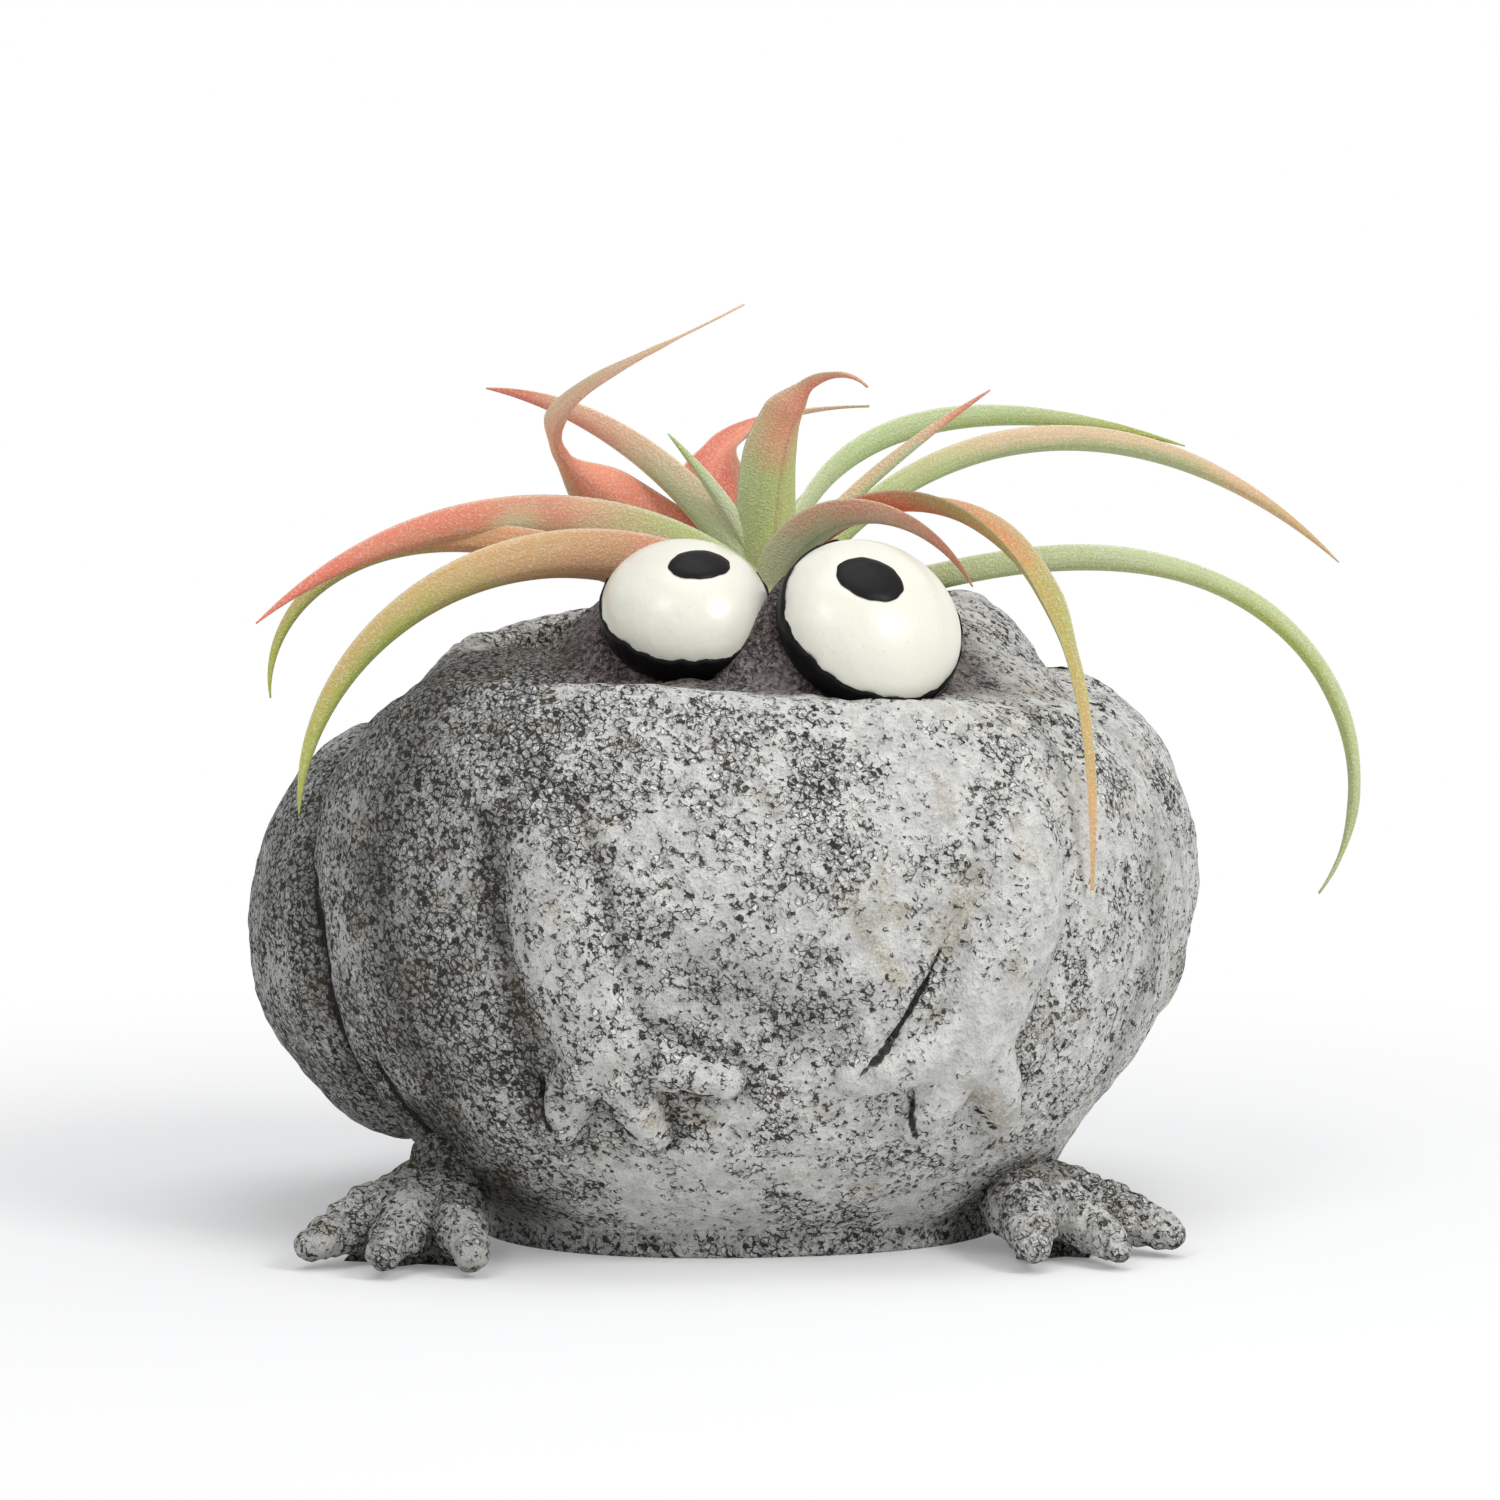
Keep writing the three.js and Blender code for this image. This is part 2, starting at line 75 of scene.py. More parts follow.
# Thighs, by side: centre; both share the half axes
THIGHS = {-1: (-53.0, 15.0, 45.5), 1: (53.0, 15.0, 52.5)}
THIGH_RADII = (23.5, 38.0, 34.0)
GROOVE_DEPTH = 1.4
GROOVE_WIDTH = 1.8
# Width of the near-black painted shade where each thigh meets the belly
CREASE_WIDTH = 0.8
# How far the thighs are drawn in low down, between which heights and reaches to the side
THIGH_TUCK = 3.5
TUCK_HEIGHTS = (38, 14)
TUCK_REACH = (42, 58)

# Arms and fingers in plan of the belly's front: out from the middle, height, radius, how proud
ARM = ((36, 77, 10, -0.6), (36.5, 66, 10, 2.6), (34, 50, 10, 4.2), (28, 35, 8.5, 4.0))
FINGERS = (
    ((27, 37, 5.5, 4.2), (18, 33, 4.2, 4.0), (10, 31, 3.4, 3.0)),
    ((28, 36, 5.5, 4.2), (23.5, 28, 4.4, 4.2), (20.5, 22.5, 3.6, 3.2)),
    ((29, 36, 5.5, 4.2), (32, 29, 4.2, 4.0), (33.7, 23, 3.5, 3.0)),
)

# What faces ahead of this place, front to back, is the belly's front
FRONT_EDGE = -5
# By side: painted shade in the grooves of the thighs and beside the arms, darker on the left, and how worn
# pale the arms are, paler on the right as painted light
THIGH_SHADE = {-1: 0.9, 1: 0.35}
ARM_SHADE = {-1: 0.65, 1: 0.15}
ARM_BARE_AND_LIT = {-1: 0.36, 1: 1.0}

# Sharp folds carved in the belly's front and darkened with painted shade: across, height along each
FOLDS = (
    ((27, 58), (23.3, 50.7), (19.5, 43.3), (15.2, 36.3), (11.5, 33.1), (8.1, 30.2)),
    ((19.5, 29.5), (18.8, 26.4), (18.8, 23.3), (20.3, 20.3)),
    ((28.7, 25.8), (30.5, 23.7), (32.4, 21.6)),
    ((-18.2, 31.2), (-16.2, 29.7), (-13.3, 28.8), (-10.7, 29.4)),
    ((-27, 27.1), (-24.9, 24.3), (-22, 22.2)),
    ((-37.3, 34), (-36.6, 29.2), (-35.2, 24.8), (-33.5, 22.7)),
    ((-64, 38), (-61, 29), (-57, 21), (-51, 14.5), (-43, 9)),
)
# Painted shade in hollows and creases: across, height along each, then how wide and how dark
SHADED_HOLLOWS = (
    (((-45, 70), (-43.6, 58), (-42.3, 50), (-40.6, 43.4), (-38.6, 35), (-37, 27)), 2.0, 0.95),
    (((-50, 88), (-54, 81), (-58, 72), (-61, 60)), 3.6, 0.8),
    (((-60, 62), (-58, 46), (-54, 30), (-47, 16)), 3.0, 0.9),
    (((61, 66), (60, 46), (55, 28)), 2.4, 0.5),
    (((-12, 47), (-4, 44), (2, 40)), 7.0, 0.55),
    (((-56, 22), (-48, 14), (-36, 8)), 3.6, 1.3),
    (((32, 8), (42, 13)), 2.6, 0.6),
)
# Ochre stains, likewise
STAINS = (
    (((27.5, 61), (25.6, 55.5), (23.2, 50.5)), 2.6, 1),
    (((8, 58), (13, 50), (16, 46)), 1.8, 1),
    (((30, 27), (33, 24)), 1.6, 1),
    (((-20, 26), (-12, 24)), 1.6, 1),
)
# Worn pale patches of the belly: across, height, how wide, how tall
WORN = ((18, 48, 15, 40), (7, 24, 10, 14))
FOLD_DEPTH = 0.9
FOLD_WIDTH = 0.62
PATH_STEPS = 24

# Soft lumps: how high, how wide and the seed of each layer
BODY_LUMPS = ((0.5, 9.0, 3), (0.32, 4.0, 4), (0.24, 1.9, 5))
LIMB_LUMPS = ((0.5, 4.5, 8), (0.6, 2.2, 9), (0.4, 1.2, 10))
WEB_LUMPS = ((0.5, 4.0, 14), (0.3, 1.8, 15))
BED_LUMPS = ((0.5, 3.0, 21),)
FOLD_LUMPS = ((0.45, 2.2, 17),)

# Columns round the body, how they crowd together ahead, and how much broad painted shade darkens the well
# inside
BODY_COLUMNS = 520
CROWDING = 0.45
INSIDE_SHADE = 0.5

# Feet, by side: ankle in plan, shank, and painted shade, darker on the left; toes as bearing outward from
# straight ahead, and length
ANKLES = {-1: (-50.0, -23.0), 1: (40.0, -30.0)}
SHANKS = {
    -1: ((-20.5, -11.5, 13), (-44, -23, 14.5), (-51, -23, 9.5)),
    1: ((20.5, -15, 12), (36.5, -29, 11.5), (40, -30, 8)),
}
SHANK_RADII = (7.5, 6.2, 7.0)
FOOT_SHADE = {-1: 0.34, 1: 0.06}
SHANK_SHADE = 0.45
TOES = ((-5, 30), (22, 31), (52, 29))
TOE_HEIGHTS = (8, 6.4, 3.1)
TOE_RADII = (7.2, 4.7, 2.0)
SOLE = 0.5
# How far above the sole the painted shade near the ground reaches
SOLE_SHADE = 1.6
WEB_BEARINGS = (-11, 58)
WEB_REACH = 0.66
WEB_HEIGHT = 3.2
WEB_TOP = 9.5

# Eyes: radius, foot, look, then the pupil: half axes, shift to the right and up the dome, and turn in degrees
EYE_RISE = 9.5
EYE_COLUMNS = 96
PAD_DROP = 3.9
PAD_SPARE = 0.4
PUPIL_EDGE = 0.1
PUPIL_SWELL = 0.3
EYES = {
    "left": (13.1, (-11.4, -24.0, 98.9), (-0.05, -0.63, 0.78), (4.9, 3.4), (2.0, 0.6), 13),
    "right": (14.7, (15.9, -34.0, 97.2), (0.26, -0.74, 0.62), (5.2, 4.3), (-3.3, 1.8), -24),
}
# Collar: bore, its lower and upper height, then its outside as out from the dome's edge and height
COLLAR_BORE = 5.3
COLLAR_DROP = 3.6
COLLAR_TOP = -0.3
COLLAR_OUTSIDE = (
    (-0.8, -COLLAR_DROP), (-0.5, -3.2), (-0.1, -2.2), (0.25, -0.8), (0.3, 0.6), (0.1, 1.5), (-0.6, 1.4))
# Waves round the collar's upper edge and the pupil's edge: height, count and start of each
COLLAR_WAVES = ((0.3, 3, 1), (0.3, 7, 0), (0.24, 17, 0), (0.2, 26, 2))
PUPIL_WAVES = ((0.012, 2, 1), (0.014, 7, 0), (0.008, 13, 0))

# Bark bed, crown and leaves of the air plant
BED_TOP = 80.0
BED_DEPTH = 8.0
BED_GAP = 0.8
CHIP_COUNT = 230
CHIP_SPREAD = (30, 13.5)
CHIP_SIZES = (1.6, 3.6)
CHIP_SHARES = (1, 0.6, 0.22)
CHIP_CLEARANCE = 4.5
CROWN_PLACE = (6.5, 10.0)
CROWN_RADIUS = 7.5
CROWN_NECK = 4.5
CROWN_FOOT = 80.3
CROWN_HEIGHT = 20.0

# Colours as seen on a screen, 0 to 255: leaves, then stone, then floor
GREEN = (184, 202, 130)
PALE = (202, 215, 170)
OLIVE = (192, 184, 112)
TAN = (214, 172, 122)
SALMON = (234, 150, 122)
PEACH = (238, 194, 162)
CORAL = (230, 124, 102)
VIVID = (176, 186, 86)
MOSS = (172, 168, 90)
BRICK = (206, 112, 92)
SAGE = (174, 182, 128)
RUST = (206, 138, 88)
LEAF_HEM = (238, 232, 210)
LEAF_SCALE = (244, 242, 230)
LEAF_DOT = (140, 100, 72)
ASH = (184, 184, 181)
CHALK = (218, 217, 211)
DUST = (240, 239, 235)
CLAY = (124, 121, 115)
# Painted highlight on the lit side of each crumb
GLINT = (244, 243, 238)
OCHRE = (156, 138, 98)
# Broad painted shade: the left side, the well inside and the feet
SHADE = (128, 130, 128)
# Painted shade in hollows, creases and near the soles
HOLLOW_SHADE_GREY = (80, 78, 74)
# Painted shade in crevices, chinks, pits and on the dark side of crumbs, greyer or browner by patches
CREVICE_SHADE_GREY = (50, 48, 45)
CREVICE_SHADE_BROWN = (86, 72, 48)
DAMP_DARK = (58, 46, 46)
DAMP_PALE = (128, 112, 110)
# Near-black painted shade along the folds and thigh creases
CREASE_SHADE_BLACK = (34, 32, 31)
FLOOR_WHITE = (244, 244, 244)

# Grain of the stone: cells to the metre, then bend of a crumb, the shift toward the side of a crumb that gets
# a painted highlight, and relief in metres
CRUMBS = 760.0
CHINKS = 1400.0
PITS = 540.0
CRUMB_BEND = 0.0013
LIT_SIDE = (0.00024, 0, 0.0003)
STONE_RELIEF = 0.0016
# Values kept at the points of the stone: painted shade along folds and creases, painted shade in hollows,
# gloss, wear with painted light, broad painted shade, and stain
STONE_MARKS = ("fold", "soil", "gloss", "bare", "dusk", "stain")

# Each leaf: bearing, turn, root above the bed, rise, droop, lateness, length, width, roll, then its
# colours at four places from root to tip and the colour of its upper edge
LEAVES = {
    "leaf_centre": (268, 62, 17, 86, 130, 3.5, 50, 9.5, 0, (GREEN, GREEN, SALMON, SALMON, GREEN)),
    "leaf_small": (185, 0, 17, 89, 41, 0.4, 33, 3.4, 45, (GREEN, PALE, PALE, GREEN, PALE)),
    "leaf_red_back": (137, -137, 17, 58, 58, 0.8, 74, 10, 0, (BRICK, BRICK, SALMON, PEACH, BRICK)),
    "leaf_spike": (18, -46, 17, 71, 38, 0.4, 51, 3.4, -45, (GREEN, GREEN, PALE, SALMON, PEACH)),
    "leaf_high_left": (162, -17, 15, 67, 60, 1, 64, 8, 45, (PALE, PALE, SALMON, CORAL, PEACH)),
    "leaf_right_back": (66, -63, 16, 92, 108, 0.4, 108, 6.5, -45, (PALE, GREEN, GREEN, VIVID, PALE)),
    "leaf_folded": (298, 30, 13, 85, 145, 1, 55, 7.5, -30, (PALE, PALE, PEACH, SALMON, SALMON)),
    "leaf_twisted": (121, 259, 15, 42, 17, 0.4, 103, 9, 0, (CORAL, SALMON, PEACH, PEACH, SALMON)),
    "leaf_right_upper": (35, -7, 12, 62, 99, 0.7, 143, 6, -50, (GREEN, SAGE, SAGE, TAN, PEACH)),
    "leaf_left_upper": (183, 28, 13, 63, 96, 0.6, 97, 9.5, 50, (GREEN, PALE, SALMON, CORAL, CORAL)),
    "leaf_cheek": (325.5, -52.5, 12, 103, 199, 0.6, 124, 6.5, -10, (CORAL, RUST, MOSS, TAN, MOSS)),
    "leaf_left_middle": (200, -34, 12.8, 23, 119, 2.8, 98, 6.5, 50, (SALMON, SALMON, OLIVE, VIVID, TAN)),
    "leaf_left_low": (214, -36, 13, 32, 120, 1.4, 106, 10, 50, (SALMON, TAN, VIVID, VIVID, TAN)),
    "leaf_right_low": (10, 5, 14, 15, 146, 2.3, 144, 5.4, -45, (SAGE, SAGE, VIVID, SAGE, PALE)),
}
# Share of the width that is left at places along the leaves that don't taper evenly
BLADES = {
    "leaf_centre": ((0, 1), (0.5, 1), (0.66, 0.85), (0.78, 0.35), (1, 0.04)),
    "leaf_twisted": ((0, 0.75), (0.15, 1), (0.32, 1), (0.47, 0.24), (0.52, 0.2), (0.62, 0.4), (0.75, 0.36),
                     (0.84, 0.2), (0.9, 0.04), (1, 0.02)),
    "leaf_red_back": ((0, 1), (0.35, 1), (0.55, 0.5), (1, 0.05)),
    "leaf_cheek": ((0, 0.9), (0.45, 1), (0.6, 0.72), (0.71, 0.34), (0.84, 0.22), (1, 0.06)),
    "leaf_right_low": ((0, 1), (0.36, 0.95), (0.58, 0.66), (0.74, 0.5), (0.88, 0.32), (0.96, 0.1), (1, 0.03)),
}
# Roll in degrees at places along the leaf that twists
ROLLS = {"leaf_twisted": ((0, 0), (0.2, 62), (0.38, 70), (0.54, 0), (1, 0))}
LEAF_THICKNESS = 1.2
LEAF_CHANNEL = 0.34
LEAF_TAPER = 2.5
LEAF_SPARE = 1.1
LEAF_HAIR = 0.25

# Lamps: place and size in metres, power in watts; camera 1 m away, 8 degrees to the left and 5 up
LAMPS = (
    ("left softbox", (-0.62, -0.85, 1.1), 0.4, 2.8),
    ("top softbox", (0.1, -0.1, 1.4), 0.9, 6.0),
    ("right key", (0.8, -0.95, 1.0), 0.5, 9.0),
)
LAMP_AIM = (0, 0, 0.06)
CAMERA_PLACE = (-0.1356755, -0.9803266, 0.1617508)
CAMERA_AIM = (0.002968, 0.0061732, 0.0745951)


def smoothstep(value, low, high):
    """0 below low, 1 above high and a smooth S between them."""
    share = np.clip((value - low) / (high - low), 0, 1)
    return share * share * (3 - 2 * share)


def mix(start, end, share):
    """The value that lies a share of the way from start to end."""
    return start + (end - start) * share


def soft_max(first, second, reach):
    """The larger of two values, rounded over where they differ by less than reach."""
    share = np.clip(0.5 + 0.5 * (second - first) / reach, 0, 1)
    return mix(first, second, share) + reach * share * (1 - share)


def unit(vectors):
    """Vectors made one long."""
    return vectors / np.maximum(np.linalg.norm(vectors, axis=-1, keepdims=True), 1e-9)


def lumps(points, size, seed):
    """Smooth noise from -1 to 1: random values at the corners of cubes of that size, blended inside them."""
    table = np.random.default_rng(seed).uniform(-1, 1, 65536)
    place = points / size
    cell = np.floor(place).astype(np.int64)
    inside = place - cell
    inside = inside * inside * (3 - 2 * inside)
    total = 0
    for corner in np.ndindex(2, 2, 2):
        at = cell + np.array(corner)
        key = (at[..., 0] * 73856093 ^ at[..., 1] * 19349663 ^ at[..., 2] * 83492791) & 65535
        total = total + table[key] * np.prod(np.where(corner, inside, 1 - inside), axis=-1)
    return total


def layered(points, layers):
    """Sum of lumps of several sizes: how high, how wide and the seed of each layer."""
    return sum(height * lumps(points, size, seed) for height, size, seed in layers)


def circle(count):
    """Angles of so many even places round a circle."""
    return np.arange(count) * 2 * np.pi / count


def ripple(angle, waves):
    """Sum of sine waves round a circle: the height, count and start of each."""
    return sum(height * np.sin(count * angle + start) for height, count, start in waves)


def curve(points, count):
    """Smooth line through a few points: a cubic between each two, whose slopes run along their neighbours."""
    points = np.asarray(points, float)
    held = np.vstack([2 * points[0] - points[1], points, 2 * points[-1] - points[-2]])
    share = np.linspace(0, len(points) - 1, count)
    span = np.minimum(share.astype(int), len(points) - 2)
    t = (share - span)[:, None]
    a, b, c, d = (held[span + k] for k in range(4))
    bend, twist = a - 2.5 * b + 2 * c - d / 2, 1.5 * (b - c) + (d - a) / 2
    return b + t * (c - a) / 2 + t * t * bend + t ** 3 * twist


def curve_at(share, places):
    """Value at shares of a smooth graph through a few (share, value) places, level at each of them."""
    at, value = np.array(places, float).T
    span = np.clip(np.searchsorted(at, share, side="right") - 1, 0, len(at) - 2)
    return mix(value[span], value[span + 1], smoothstep(share, at[span], at[span + 1]))


def near_line(points, line, values):
    """Distance from each point to a bent line, and the line's own values at the nearest place on it."""
    nearest = np.full(points.shape[:-1], np.inf)
    found = np.zeros(points.shape[:-1] + values.shape[1:])
    for start, end, first, last in zip(line[:-1], line[1:], values[:-1], values[1:]):
        run = end - start
        share = np.clip((points - start) @ run / (run @ run), 0, 1)[..., None]
        away = np.linalg.norm(points - start - share * run, axis=-1)
        closer = away < nearest
        nearest = np.where(closer, away, nearest)
        found = np.where(closer[..., None], mix(first, last, share), found)
    return nearest, found


def beside(points, path):
    """Distance of each point, seen from the front, to a path of (across, height), and the share along it."""
    shares = np.linspace(0, 1, PATH_STEPS)[:, None]
    away, share = near_line(points[..., [0, 2]], curve(path, PATH_STEPS), shares)
    return away, share[..., 0]


def grid_normals(grid):
    """Outward directions of a grid closed round its columns: the turn round crossed with the step up."""
    around = np.roll(grid, -1, axis=1) - np.roll(grid, 1, axis=1)
    upward = np.gradient(grid, axis=0)
    return unit(np.cross(around, upward))


def new_object(name, data):
    """A new object of the scene that holds that data."""
    made = bpy.data.objects.new(name, data)
    bpy.context.collection.objects.link(made)
    return made


def new_piece(name, points, faces):
    """A new object with a mesh of points, in metres, and faces."""
    mesh = bpy.data.meshes.new(name)
    mesh.from_pydata(points, [], faces)
    return new_object(name, mesh)


def add_surface(name, grid, poles=(), marks=None):
    """Mesh over a grid of points, rows by columns, closed round the columns: four-sided faces, and a fan of
    triangles to the pole at either end or, without poles, faces from the last row to the first. UV is the
    share round the columns and along the rows; marks are values kept at the points."""
    rows, cols = grid.shape[:2]
    index = np.arange(rows * cols).reshape(rows, cols)
    ahead = np.roll(index, -1, axis=1)
    u, v = np.meshgrid(np.arange(cols) / cols, np.arange(rows) / (rows - 1))
    u_next, v_next = u + 1 / cols, v + 1 / (rows - 1)
    steps = rows - 1 if poles else rows
    quads = np.stack([index, ahead, np.roll(ahead, -1, axis=0), np.roll(index, -1, axis=0)], axis=-1)
    faces = quads[:steps].reshape(-1, 4).tolist()
    corners = np.stack([u, v, u_next, v, u_next, v_next, u, v_next], axis=-1)
    uv = [corners[:steps].reshape(-1, 2)]
    for end in range(len(poles)):
        sides, u_sides = (index[-1], ahead[-1]), (u[0], u_next[0])
        if end == 0:
            sides, u_sides = (ahead[0], index[0]), u_sides[::-1]
        flat = np.full(cols, float(end))
        faces += np.stack([*sides, np.full(cols, rows * cols + end)], axis=-1).tolist()
        fan = [u_sides[0], flat, u_sides[1], flat, u[0] + 0.5 / cols, flat]
        uv.append(np.stack(fan, axis=-1).reshape(-1, 2))
    piece = new_piece(name, np.vstack([grid.reshape(-1, 3), *poles]) * MM, faces)
    mesh = piece.data
    mesh.uv_layers.new(name="UVMap").data.foreach_set("uv", np.vstack(uv).ravel())
    for key, values in (marks or {}).items():
        held = np.append(values, np.zeros(len(poles)))
        mesh.attributes.new(key, "FLOAT", "POINT").data.foreach_set("value", held)
    mesh.shade_smooth()
    return piece


def fit(piece, body, slot, material, *nodes):
    """Gives a piece its material and its moving body, and hides the nodes it stands for. The slot is not
    used.
    """
    piece.data.materials.append(material)
    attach(piece, body)
    if nodes:
        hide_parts(*nodes)


class Wire:
    """A shader value in plain sums: each operator adds the Math node that works it out."""

    def __init__(self, tree, socket=None):
        self.tree = tree
        self.socket = socket

    def node(self, kind, sockets=None, out=0, **settings):
        """Adds a node, applies its settings and fills its sockets with values or wires."""
        made = self.tree.nodes.new("ShaderNode" + kind)
        for key, value in settings.items():
            if key == "stops":
                ramp = made.color_ramp.elements
                while len(ramp) < len(value):
                    ramp.new(0.5)
                for stop, (place, colour) in zip(ramp, value):
                    stop.position = place
                    stop.color = colour
            else:
                setattr(made, key, value)
        for key, value in (sockets or {}).items():
            if isinstance(value, Wire):
                self.tree.links.new(value.socket, made.inputs[key])
            else:
                made.inputs[key].default_value = value
        return Wire(self.tree, made.outputs[out]) if len(made.outputs) else made

    def other(self, out):
        """Another output of the node that this value comes from."""
        return Wire(self.tree, self.socket.node.outputs[out])

    def sum(self, operation, first, second=0.0):
        return self.node("Math", {0: first, 1: second}, operation=operation)

    def __add__(self, other):
        return self.sum("ADD", self, other)

    def __sub__(self, other):
        return self.sum("SUBTRACT", self, other)

    def __rsub__(self, other):
        return self.sum("SUBTRACT", other, self)

    def __mul__(self, other):
        return self.sum("MULTIPLY", self, other)

    __radd__ = __add__
    __rmul__ = __mul__


def tint(red, green, blue):
    """Colour seen on a screen, 0 to 255, as the linear light a shader takes."""
    seen = np.array([red, green, blue]) / 255
    light = np.where(seen <= 0.04045, seen / 12.92, ((seen + 0.055) / 1.055) ** 2.4)
    return (*map(float, light), 1.0)


def shaded(colour, share):
    """A colour darkened to a share."""
    return tuple(share * part for part in colour)


def new_paint(name):
    """An empty material, a wire to build its nodes from, and the place on the object."""
    material = bpy.data.materials.new(name)
    material.use_nodes = True
    material.node_tree.nodes.clear()
    paint = Wire(material.node_tree)
    return material, paint, paint.node("TexCoord", out=3)


def ease(value, low, high):
    """Smoothstep as a node."""
    sockets = {"Value": value, "From Min": low, "From Max": high}
    return value.node("MapRange", sockets, interpolation_type="SMOOTHSTEP")


def blend(share, first, second):
    """Mixes two colours by a share; each is a wire or a colour as seen on a screen."""
    first, second = (tint(*colour) if isinstance(colour, tuple) else colour for colour in (first, second))
    return share.node("Mix", {"Factor": share, 6: first, 7: second}, out=2, data_type="RGBA")


def noise(place, scale, detail=2.0, rough=0.5):
    """Cloudy noise from 0 to 1 over a place."""
    sockets = {"Vector": place, "Scale": scale, "Detail": detail, "Roughness": rough}
    return place.node("TexNoise", sockets)


def cells(place, scale, feature="F1"):
    """Cell pattern over a place: distance to the nearest seed, or to the nearest edge."""
    return place.node("TexVoronoi", {"Vector": place, "Scale": scale}, feature=feature)


def drawn(pattern):
    """The random number, 0 to 1, of each cell of a cell pattern."""
    return pattern.node("SeparateColor", {0: pattern.other(1)})


def finish_paint(paint, colour, roughness, height, depth, **uniform):
    """Ends a material in a glossy-over-matt surface, with its relief as a bump of that depth in metres."""
    bump = paint.node("Bump", {"Height": height, "Distance": depth})
    sockets = {"Base Color": colour, "Roughness": roughness, "Normal": bump}
    sockets.update({key.replace("_", " "): value for key, value in uniform.items()})
    surface = paint.node("BsdfPrincipled", sockets)
    paint.node("OutputMaterial", {"Surface": surface})


def stone_paint(name, warm):
    """Cast stone: a pale wavy ground that breaks up, in patches, into crumbs with a painted highlight on one
    side and painted shade on the other, painted shade in the crevices between them, chinks and pits darkened
    as painted shade, ochre stains, painted shade in hollows, folds painted near-black as shade, a broad
    painted shade and a damp gloss."""
    material, paint, place = new_paint(name)
    stir = noise(place, 1100.0)
    shift = paint.node("VectorMath", {0: stir.other(1), "Scale": CRUMB_BEND}, operation="SCALE")
    bent = paint.node("VectorMath", {0: place, 1: shift}, operation="ADD")
    lit = paint.node("VectorMath", {0: bent, 1: LIT_SIDE}, operation="ADD")
    fold, soil, gloss, bare, dusk, ochre = (
        paint.node("Attribute", out=2, attribute_name=key) for key in STONE_MARKS)
    wide = noise(place, 42.0)
    middle = noise(place, 140.0)
    wave = noise(place, 380.0, 3.0, 0.55)
    fine = noise(place, 2300.0, 2.0, 0.6)
    broken = noise(place, 950.0, 1.0)
    patch = noise(place, 120.0, 3.0, 0.6)

    # Fewer crumbs where worn or lit, more under broad painted shade and in hollows
    crowd = 1.2 * (wide - 0.5) + 1.3 * (middle - 0.5) - 0.42 * bare + 0.26 * dusk + 0.2 * soil + 0.1
    seeds = cells(bent, CRUMBS)
    # Positive on the side of each crumb toward the light and negative on the far side
    lean = cells(lit, CRUMBS) - seeds
    hole = cells(bent, PITS)
    open_coarse = ease(crowd + 2.0 * (broken - 0.5) + 0.4 * (drawn(seeds) - 0.5), 0.0, 0.26)
    open_small = ease(crowd + 1.4 * (noise(place, 1500.0, 1.0) - 0.5), 0.22, 0.5)
    crevice = (1.0 - ease(cells(bent, CRUMBS, "DISTANCE_TO_EDGE"), 0.02, 0.1)) * open_coarse
    # Painted shadow on the far side of each crumb and painted highlight on its lit side
    crumb_shadow = ease(lean * -1.0, 0.08, 0.22) * open_coarse
    crumb_highlight = ease(lean, 0.08, 0.24) * open_coarse
    chink = (1.0 - ease(cells(bent, CHINKS, "DISTANCE_TO_EDGE"), 0.05, 0.17)) * open_small
    pit = (1.0 - ease(hole, 0.2, 0.34)) * ease(drawn(hole) * 0.8 + crowd + 0.14 * dusk, 0.7, 0.78)
    # Painted shade in crevices, chinks, pits and on the dark side of crumbs
    dark = ease(0.8 * crevice + 0.9 * crumb_shadow + 0.35 * chink + pit, 0.14, 0.9)
    # Near-black painted shade along the folds and thigh creases
    line = ease(fold + 0.8 * (noise(place, 900.0) - 0.5), 0.55, 0.82)

    pale = blend(ease(wave, 0.3, 0.7), ASH, CHALK)
    pale = blend(ease(fine, 0.35, 0.75) * 0.3, pale, DUST)
    pale = blend(ease(broken + 0.4 * crowd, 0.5, 0.8) * 0.24, pale, CLAY)
    # Painted highlight on the lit side of each crumb
    pale = blend(crumb_highlight * 0.85, pale, GLINT)
    stain = ease(patch, 0.56, 0.68) * 0.7 + warm * 0.5 + soil * 0.3 + 0.6 * fold + ochre
    pale = blend(ease(stain, 0.0, 1.0) * ease(fine, 0.38, 0.6) * 0.6, pale, OCHRE)
    # Broad painted shade on the left side, inside the well and on the feet
    pale = blend(dusk * 0.4, pale, SHADE)
    # Painted shade in hollows, creases and near the soles
    pale = blend(soil * 0.6, pale, HOLLOW_SHADE_GREY)
    # Painted shade in crevices and on the dark side of crumbs, greyer or browner by patches
    colour = blend(dark * 0.92, pale, blend(ease(patch, 0.46, 0.62) * 0.7, CREVICE_SHADE_GREY, CREVICE_SHADE_BROWN))
    colour = blend(gloss * 0.85, colour, blend(ease(stir, 0.4, 0.6), DAMP_DARK, DAMP_PALE))
    # Near-black painted shade along the folds and thigh creases
    colour = blend(line * 0.95, colour, CREASE_SHADE_BLACK)
    height = 0.9 * wave + 0.4 * broken + 0.25 * fine + 0.5 * crumb_highlight
    height = height - 0.6 * crevice - 0.2 * chink - pit - 1.2 * line
    finish_paint(paint, colour, 0.86 - 0.45 * gloss, height, STONE_RELIEF, Specular_IOR_Level=0.2)
    return material


def glaze_paint(name, colour, speck, roughness, gloss):
    """Glazed surface of one colour with faint clouds and fine specks under a clear gloss."""
    material, paint, place = new_paint(name)
    cloud = noise(place, 130.0, 3.0)
    speckle = ease(noise(place, 1600.0), 0.66, 0.74)
    shade = blend(cloud * 0.5, colour, shaded(colour, 0.9))
    shade = blend(speckle * 0.2, shade, speck)
    height = noise(place, 240.0)
    finish_paint(paint, shade, roughness + 0.08 * cloud, height, 0.0003, Coat_Weight=gloss,
                 Coat_Roughness=0.2, Specular_IOR_Level=0.5 * gloss + 0.08)
    return material


